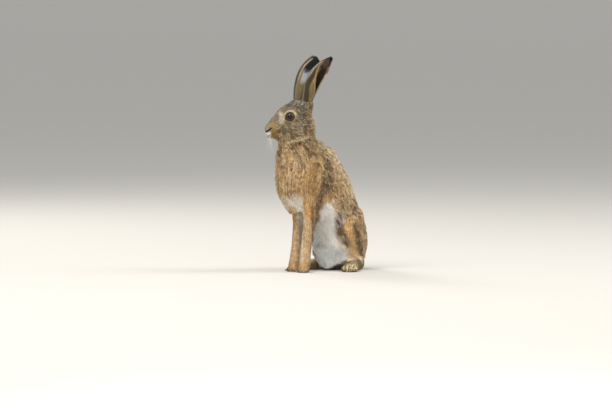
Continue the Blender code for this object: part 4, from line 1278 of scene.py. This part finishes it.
# %% Roots and their looks
def random_roots(points, normals, triangles, way, sizes, base, draw):
    """Places of the roots, with all that the skin knows there."""
    a, b, c = (points[triangles[:, k]] for k in range(3))
    area = np.linalg.norm(np.cross(b - a, c - a), axis=1) / 2
    wanted = area * sizes[triangles, 3].mean(1) * SHARE
    number = np.floor(wanted + draw.uniform(size=len(wanted))).astype(int)
    index = np.repeat(np.arange(len(triangles)), number)
    u, v = draw.uniform(size=(2, len(index)))
    flip = u + v > 1
    u[flip], v[flip] = 1 - u[flip], 1 - v[flip]
    weights = np.stack([1 - u - v, u, v], 1)[:, :, None]
    corners = triangles[index]
    return [(field[corners] * weights).sum(1) for field in (points, normals, way, sizes, base)]


def keep_clear(points):
    """True where hair grows: not on the eyes, nor in the grooves, nor under the soles."""
    clear = points[:, 2] > 1.2
    for side in (1, -1):
        offset = points - EYE_CENTRES[side]
        along = offset @ EYE_AXES[side]
        ring = np.linalg.norm(offset - along[:, None] * EYE_AXES[side], axis=1)
        clear &= ~((ring < LID_RIM + 0.7) & (along > 0) & (along < 16))
    clear &= nostril_mask(points) < 0.35
    clear &= mouth_mask(points) * (in_head(points)[1] < -22) < 0.5
    return clear & (cleft_mask(points) < 0.5)


def nearest_locks(roots, way, draw):
    """For each root the middle of its lock, and how far out in the lock it is, 0 to about 1.

    A lock is a patch of roots, longer along the lie of the hair than across it.
    """
    per_lock = max(4, int(TUFTS_IN_LOCK * SHARE))
    middles = roots[draw.permutation(len(roots))[:max(8, len(roots) // per_lock)]]
    tree = KDTree(len(middles))
    for i, middle in enumerate(middles):
        tree.insert(Vector(middle), i)
    tree.balance()
    near = np.array([[hit[1] for hit in tree.find_n(Vector(root), 7)] for root in roots])
    offset = middles[near] - roots[:, None]
    along = (offset * way[:, None]).sum(2)
    away = np.sqrt(np.maximum((offset**2).sum(2) - along**2, 0.0) + (along / LOCK_STRETCH) ** 2)
    best = away.argmin(1)
    rows = np.arange(len(roots))
    lock, away = near[rows, best], away[rows, best]
    widest = np.zeros(len(middles))
    np.maximum.at(widest, lock, away)
    return lock, middles[lock], away / np.maximum(widest[lock], 0.5)


def ticked(base, roots, lock, sizes, draw):
    """Root and tip colours of tufts that share a base colour but are ticked dark and pale."""
    ticking, shared = sizes[:, 5], 1.3 * sizes[:, 4]
    luck = (draw.uniform(size=len(base)) + shared * draw.uniform(size=lock.max() + 1)[lock]) / (1 + shared)
    tone = 1 + 0.10 * ripple(roots, 9, 21) + 0.08 * ripple(roots, 25, 22) + draw.normal(0, 0.09, len(base))
    tips = base * tone[:, None]
    dark = luck < 0.26 * ticking
    pale = luck > 1 - 0.34 * ticking
    tips[dark] = tips[dark] * 0.38
    tips[pale] = tips[pale] * 0.55 + colour("ead9b8") * 0.45
    return base * 0.52, np.clip(tips, 0.004, 0.9)


# %% [markdown]
# The coat is made in pieces, one for each part of the body that has its own kind of hair, and
# cut further where a piece would pass the size that the export takes.

# %% Coat of the body
def grow_coat():
    draw = np.random.default_rng(7)
    roots, normals, way, sizes, base = random_roots(
        skin_points, skin_normals, skin_triangles, hair_way, hair_sizes, hair_base, draw)
    keep = keep_clear(roots)
    roots, normals, way, sizes, base = (field[keep] for field in (roots, normals, way, sizes, base))
    normals = unit(normals)
    way = unit(way)
    sway = np.stack([ripple(roots, 22, seed) for seed in (31, 32, 33)], 1)
    way = way + sway * 0.12 + draw.normal(0, 0.10, way.shape)
    way = unit(way - normals * (way * normals).sum(1)[:, None])
    lock, middle, outness = nearest_locks(roots, way, draw)
    way = unit(way + (middle - roots) * (sizes[:, 4] / np.maximum(sizes[:, 0], 1.0))[:, None])
    way = unit(way - normals * (way * normals).sum(1)[:, None])
    varied = sizes.copy()
    varied[:, 0] *= np.clip(draw.normal(0.98, 0.13, len(roots)), 0.6, 1.3)
    varied[:, 1] *= np.clip(draw.normal(0.92, 0.2, len(roots)), 0.35, 1.35)
    varied[:, 2] *= draw.uniform(0.75, 1.25, len(roots))
    base = markings(roots, normals, base)
    pale = rise(0.45, 0.6, base.min(1))
    edge = rise(0.35, 1.0, outness) * (1 - 0.5 * pale)
    # Each lock gets its own random tone, and tufts towards a lock's edge are painted darker: painted shade in the gaps
    # between locks.
    lock_tone_and_edge_shade = 1 + 0.28 * sizes[:, 4] * draw.normal(size=lock.max() + 1)[lock]
    lock_tone_and_edge_shade *= 1.08 - 0.32 * edge
    toned = base * np.clip(lock_tone_and_edge_shade, 0.45, 1.5)[:, None]
    root_shade, tip_shade = ticked(toned, roots, lock, sizes, draw)
    pale = pale[:, None]
    tip_shade = tip_shade * (1 - pale) + (0.5 * base + 0.5 * toned) * pale
    root_shade = root_shade * (1 - pale) + base * 0.8 * pale
    left, back, up = in_head(roots)
    head = (roots[:, 2] > 262) & (back < 44)
    regions = {
        "head": head,
        "neck": ~head & (roots[:, 2] > 228),
        "trunk": ~head & (roots[:, 2] <= 228) & (roots[:, 2] > 100),
        "legs": ~head & (roots[:, 2] <= 100),
    }
    total = 0
    for region, chosen in regions.items():
        order = np.flatnonzero(chosen)
        order = order[np.argsort(roots[order] @ np.array((0.3, 0.7, 0.65)))]
        parts = max(1, math.ceil(len(order) / MOST_TUFTS))
        for number, part in enumerate(np.array_split(order, parts), 1):
            tuft_mesh(f"coat_{region}_{number}", roots[part], normals[part], way[part], varied[part],
                      root_shade[part], tip_shade[part], draw)
        total += len(order)
    return total


print("tufts on the body:", grow_coat())

# %% [markdown]
# Ear fur is short and lies close, running up the ear from root to tip on both faces. Along
# the two edges a longer fringe stands out a little. Roots are drawn on the leaf's own grid.

# %% Coat of the ears
EAR_HAIR = (3.6, 0.9, 0.62, 1.25)
EAR_FRINGE = (6.0, 1.2, 0.55, 0.0)


def grow_ear(side, name, draw):
    middles, outs = EARS[side]
    cells = np.linalg.norm(np.cross(middles[1:, :-1] - middles[:-1, :-1], middles[:-1, 1:] - middles[:-1, :-1]), axis=2)
    wanted = cells * EAR_HAIR[3] * SHARE * 2
    number = np.floor(wanted + draw.uniform(size=wanted.shape)).astype(int)
    row, column = np.nonzero(number)
    times = number[row, column]
    row, column = np.repeat(row, times), np.repeat(column, times)
    fringe = draw.integers(0, 2, int(2600 * SHARE))
    edge_rows = draw.integers(6, EAR_ROWS - 2, len(fringe))
    row = np.concatenate([row, edge_rows])
    column = np.concatenate([column, np.where(fringe == 1, EAR_COLUMNS - 2, 0)])
    is_fringe = np.arange(len(row)) >= len(row) - len(fringe)
    u, v = draw.uniform(size=(2, len(row)))
    v = np.where(is_fringe, np.where(column == 0, v * 0.4, 1 - v * 0.4), v)
    corner = [(1 - u) * (1 - v), (1 - u) * v, u * (1 - v), u * v]
    steps = ((0, 0), (0, 1), (1, 0), (1, 1))
    place = sum(w[:, None] * middles[row + i, column + j] for w, (i, j) in zip(corner, steps))
    out = unit(sum(w[:, None] * outs[row + i, column + j] for w, (i, j) in zip(corner, steps)))
    ahead = unit(middles[row + 1, column] - middles[row, column])
    share = (row + u) / (EAR_ROWS - 1)
    across = (column + v) / (EAR_COLUMNS - 1) * 2 - 1
    inside = draw.uniform(size=len(row)) < 0.5
    normal = np.where(inside[:, None], -out, out)
    root = place + normal * EAR_SKIN_THICK * 0.5 * (1 - 0.5 * np.abs(across) ** 6)[:, None]
    edgeward = unit(np.cross(out, ahead)) * np.where(across > 0, -1, 1)[:, None]
    probe = middles[row, np.minimum(column + 1, EAR_COLUMNS - 1)] - middles[row, column]
    edgeward *= np.sign((edgeward * probe).sum(1) * np.where(across > 0, 1, -1))[:, None]
    lean = np.where(is_fringe, 0.55, 0.16 * np.abs(across))
    way = ahead + edgeward * lean[:, None] + draw.normal(0, 0.07, ahead.shape)
    way = unit(way - normal * (way * normal).sum(1)[:, None])
    sizes = np.tile(np.array(EAR_HAIR[:3]), (len(row), 1))
    sizes[is_fringe] = EAR_FRINGE[:3]
    sizes *= draw.uniform(0.75, 1.2, sizes.shape)
    sizes[:, 0] *= 1 - 0.45 * rise(0.8, 1.0, share)
    base = ear_markings_and_sheen(share, across * side, inside, side)
    base[is_fringe & (share < 0.8)] = colour("a58c64")
    base[is_fringe & (share < 0.6) & (across * side > 0)] = colour("e9dfc8")
    tone = 1 + draw.normal(0, 0.12, len(row))
    tuft_mesh(f"coat_ear_{name}", root, normal, way, sizes, base * 0.62, base * tone[:, None], draw)


for side_name, side in SIDES.items():
    grow_ear(side, side_name, np.random.default_rng(70 + side))

# %% [markdown]
# A hare's eye is a large ball under a clear cornea, with a round black pupil and a red-brown
# iris that darkens to its rim. The whole ball is turned smooth, and the colour follows the
# angle from its axis. A clear coat gives the wet highlight. Round it lies the dark lid rim.

# %% Eyes
EYE_SIDES = 64
PUPIL_ANGLE = 24.0
IRIS_ANGLE = 54.0


def turned(name, centre, axis, profile, sides):
    """A surface turned about an axis from pairs of place along it and radius."""
    top = unit(UP - axis * (UP @ axis))
    ahead = np.cross(top, axis)
    angles = np.arange(sides) * math.tau / sides
    around = np.cos(angles)[:, None] * ahead + np.sin(angles)[:, None] * top
    points = np.vstack([centre + axis * along + around * radius for along, radius in profile])
    index = np.arange(len(profile) * sides).reshape(len(profile), sides)
    after = np.roll(index, -1, 1)
    faces = np.stack([index[:-1], after[:-1], after[1:], index[1:]], 2).reshape(-1, 4)
    return mesh_from(name, points, faces)


def eye_finish():
    finish = Finish("eye_glass", Roughness=0.15, Specular_IOR_Level=0.0, Coat_Weight=1.0, Coat_Roughness=0.03,
                    Coat_IOR=1.34)
    angle = finish.node("ShaderNodeAttribute", {"attribute_name": "angle"}, out=2)
    iris = finish.node("ShaderNodeTexNoise", None, {"Scale": 900.0, "Detail": 3.0})
    shade = finish.node("ShaderNodeValToRGB", {"stops": [
        (0.0, (0.002, 0.002, 0.004)),
        (0.45, (0.003, 0.002, 0.003)),
        (0.52, (0.050, 0.019, 0.009)),
        (0.68, (0.090, 0.035, 0.014)),
        (0.80, (0.030, 0.012, 0.006)),
        (0.88, (0.006, 0.004, 0.003)),
    ]}, {0: angle + 0.05 * (iris - 0.5)})
    return finish.surface(Base_Color=shade)


EYE_FINISH = eye_finish()


def make_eye(name, side):
    angles = np.radians(np.linspace(0.5, 150, 60))
    bulge = EYE_RADIUS + 0.35 * np.cos(np.clip(angles / math.radians(42), 0, 1) * math.pi / 2) ** 2
    profile = list(zip(bulge * np.cos(angles), bulge * np.sin(angles)))
    ball = turned("eyeball_" + name, EYE_CENTRES[side], EYE_AXES[side], profile, EYE_SIDES)
    layer = ball.data.attributes.new("angle", "FLOAT", "POINT")
    layer.data.foreach_set("value", np.repeat(np.degrees(angles) / 60.0, EYE_SIDES).astype(np.float32))
    ball.data.materials.append(EYE_FINISH)
    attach(ball, "root")
    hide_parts("eye_" + name)
    return ball


def make_lid_rim(name, side, finish):
    """The bare dark edge of the lids, a thin ring round the eye."""
    centre, axis = EYE_CENTRES[side], EYE_AXES[side]
    angles = np.radians(np.arange(0, 360, 30))
    profile = []
    for angle in np.append(angles, angles[0]):
        profile.append((6.2 + 0.85 * math.sin(angle), LID_RIM + 0.15 + 0.75 * math.cos(angle)))
    rim = turned("lid_rim_" + name, centre, axis, profile, EYE_SIDES)
    rim.data.materials.append(finish)
    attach(rim, "root")
    return rim


def lid_finish():
    finish = Finish("lid_rim", Specular_IOR_Level=0.6)
    grain = finish.node("ShaderNodeTexNoise", None, {"Scale": 700.0, "Detail": 2.0})
    shade = finish.blended(grain, (0.010, 0.007, 0.005, 1), (0.035, 0.022, 0.015, 1))
    return finish.surface(Base_Color=shade, Roughness=0.35 + 0.2 * grain)


LID_FINISH = lid_finish()
for side_name, side in SIDES.items():
    make_eye(side_name, side)
    make_lid_rim(side_name, side, LID_FINISH)
print("eyes", EYE_RADIUS * 2, "mm across")

# %% [markdown]
# The claws keep their solids and get a dark horn with fine lengthwise grain.

# %% Claws
def horn_finish():
    finish = Finish("claw_horn", Specular_IOR_Level=0.5)
    grain = finish.node("ShaderNodeTexNoise", None, {"Scale": 600.0, "Detail": 3.0})
    shade = finish.blended(grain, (0.018, 0.012, 0.009, 1), (0.09, 0.065, 0.045, 1))
    bump = finish.node("ShaderNodeBump", None, {"Strength": 0.2, "Distance": 0.0002, "Height": grain})
    return finish.surface(Base_Color=shade, Roughness=0.32 + 0.2 * grain, Normal=bump)


HORN_FINISH = horn_finish()
for name in CLAW_NODES:
    claw = frame["nodes"][name]
    claw.data.materials.clear()
    claw.data.materials.append(HORN_FINISH)
print("claws", len(CLAW_NODES))

# %% [markdown]
# Whiskers grow in rows on the upper lip and droop in long curves. Each is a thin tube of five
# sides that narrows almost to a point. They are too fine for the solids, so they are only made here.

# %% Whiskers
WHISKERS = 10
WHISKER_SIDES = 5
WHISKER_STEPS = 14


def whisker(root, way, length, droop, thick):
    """Places and faces of one whisker that falls away under its own weight."""
    shares = np.linspace(0, 1, WHISKER_STEPS)
    path = root + np.outer(shares * length, way) - np.outer(droop * shares**2 * length, UP)
    ahead = unit(np.gradient(path, axis=0))
    side = unit(np.cross(ahead, UP))
    other = np.cross(ahead, side)
    angles = np.arange(WHISKER_SIDES) * math.tau / WHISKER_SIDES
    radius = thick * (1 - 0.85 * shares)
    rings = path[:, None] + radius[:, None, None] * (
        np.cos(angles)[None, :, None] * side[:, None] + np.sin(angles)[None, :, None] * other[:, None])
    index = np.arange(WHISKER_STEPS * WHISKER_SIDES).reshape(WHISKER_STEPS, WHISKER_SIDES)
    after = np.roll(index, -1, 1)
    faces = np.stack([index[:-1], after[:-1], after[1:], index[1:]], 2).reshape(-1, 4)
    return rings.reshape(-1, 3), faces


def whisker_finish():
    finish = Finish("whisker", Specular_IOR_Level=0.6)
    grain = finish.node("ShaderNodeTexNoise", None, {"Scale": 90.0})
    shade = finish.blended(grain, (0.55, 0.5, 0.42, 1), (0.85, 0.82, 0.76, 1))
    return finish.surface(Base_Color=shade, Roughness=0.3 + 0.1 * grain)


WHISKER_FINISH = whisker_finish()


def make_whiskers(name, side, draw):
    points, faces, count = [], [], 0
    for i in range(WHISKERS):
        row, place = i % 4, i // 4
        back = -44 + place * 3.2 + draw.uniform(-0.6, 0.6)
        up = -31 - row * 2.6 + draw.uniform(-0.5, 0.5)
        root = on_head(side * (8.6 + place * 0.9), back, up)
        way = unit(leftward(HEAD_TURN) * side * draw.uniform(0.25, 0.55) + rearward(HEAD_TURN) * draw.uniform(-0.15, 0.3)
                   - UP * draw.uniform(0.5, 0.9))
        length = draw.uniform(18, 38)
        places, quads = whisker(root, way, length, draw.uniform(0.2, 0.8), draw.uniform(0.10, 0.15))
        points.append(places)
        faces.append(quads + count)
        count += len(places)
    piece = mesh_from("whiskers_" + name, np.vstack(points), np.vstack(faces))
    piece.data.materials.append(WHISKER_FINISH)
    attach(piece, "root")
    return piece


for side_name, side in SIDES.items():
    make_whiskers(side_name, side, np.random.default_rng(40 + side))

# %% [markdown]
# The hare stands on a plain pale floor that runs far back, under a broad soft light from the
# upper front left, a weaker one behind it and an even pale sky.

# %% Floor and light
FLOOR_SIZE = 160.0


def plain_finish(name, shade):
    finish = Finish(name, Specular_IOR_Level=0.2)
    grain = finish.node("ShaderNodeTexNoise", None, {"Scale": 6.0, "Detail": 2.0})
    tone = finish.blended(grain, (*(shade * 0.97), 1), (*(shade * 1.03), 1))
    return finish.surface(Base_Color=tone, Roughness=0.9)


def make_floor():
    half = FLOOR_SIZE / 2 / MM
    corners = np.array([(-half, -half, 0), (half, -half, 0), (half, half, 0), (-half, half, 0)], float)
    floor = mesh_from("floor", corners, np.array([(0, 1, 2, 3)]))
    floor.data.materials.append(plain_finish("pale_floor", colour("b4b0a8")))


def make_light(name, place, size, watts, tint):
    lamp = bpy.data.lights.new(name, "AREA")
    lamp.shape = "DISK"
    lamp.size = size
    lamp.energy = watts
    lamp.color = tint
    light = bpy.data.objects.new(name, lamp)
    aim = Vector(CAMERA_AIM * MM + ORIGIN)
    light.location = aim + Vector(place)
    light.rotation_euler = (-Vector(place)).to_track_quat("-Z", "Y").to_euler()
    bpy.context.scene.collection.objects.link(light)


make_floor()
make_light("key", (0.4, -2.0, 2.8), 1.8, 105.0, (1.0, 0.985, 0.96))
make_light("rim", (2.0, 1.6, 2.4), 1.8, 75.0, (0.97, 0.985, 1.0))
make_light("edge", (-2.4, 0.3, 1.8), 1.2, 45.0, (1.0, 0.99, 0.97))
make_light("fill", (2.4, -2.0, 0.4), 1.6, 24.0, (1.0, 0.98, 0.95))
sky = bpy.data.worlds.new("sky")
sky.use_nodes = True
sky.node_tree.nodes["Background"].inputs[0].default_value = (0.83, 0.85, 0.88, 1.0)
sky.node_tree.nodes["Background"].inputs[1].default_value = 0.95
bpy.context.scene.world = sky
bpy.context.scene.view_settings.view_transform = "Standard"

# %% [markdown]
# The skin was built on a working copy, which goes now.

# %% Clearing up
bpy.data.objects.remove(skin)
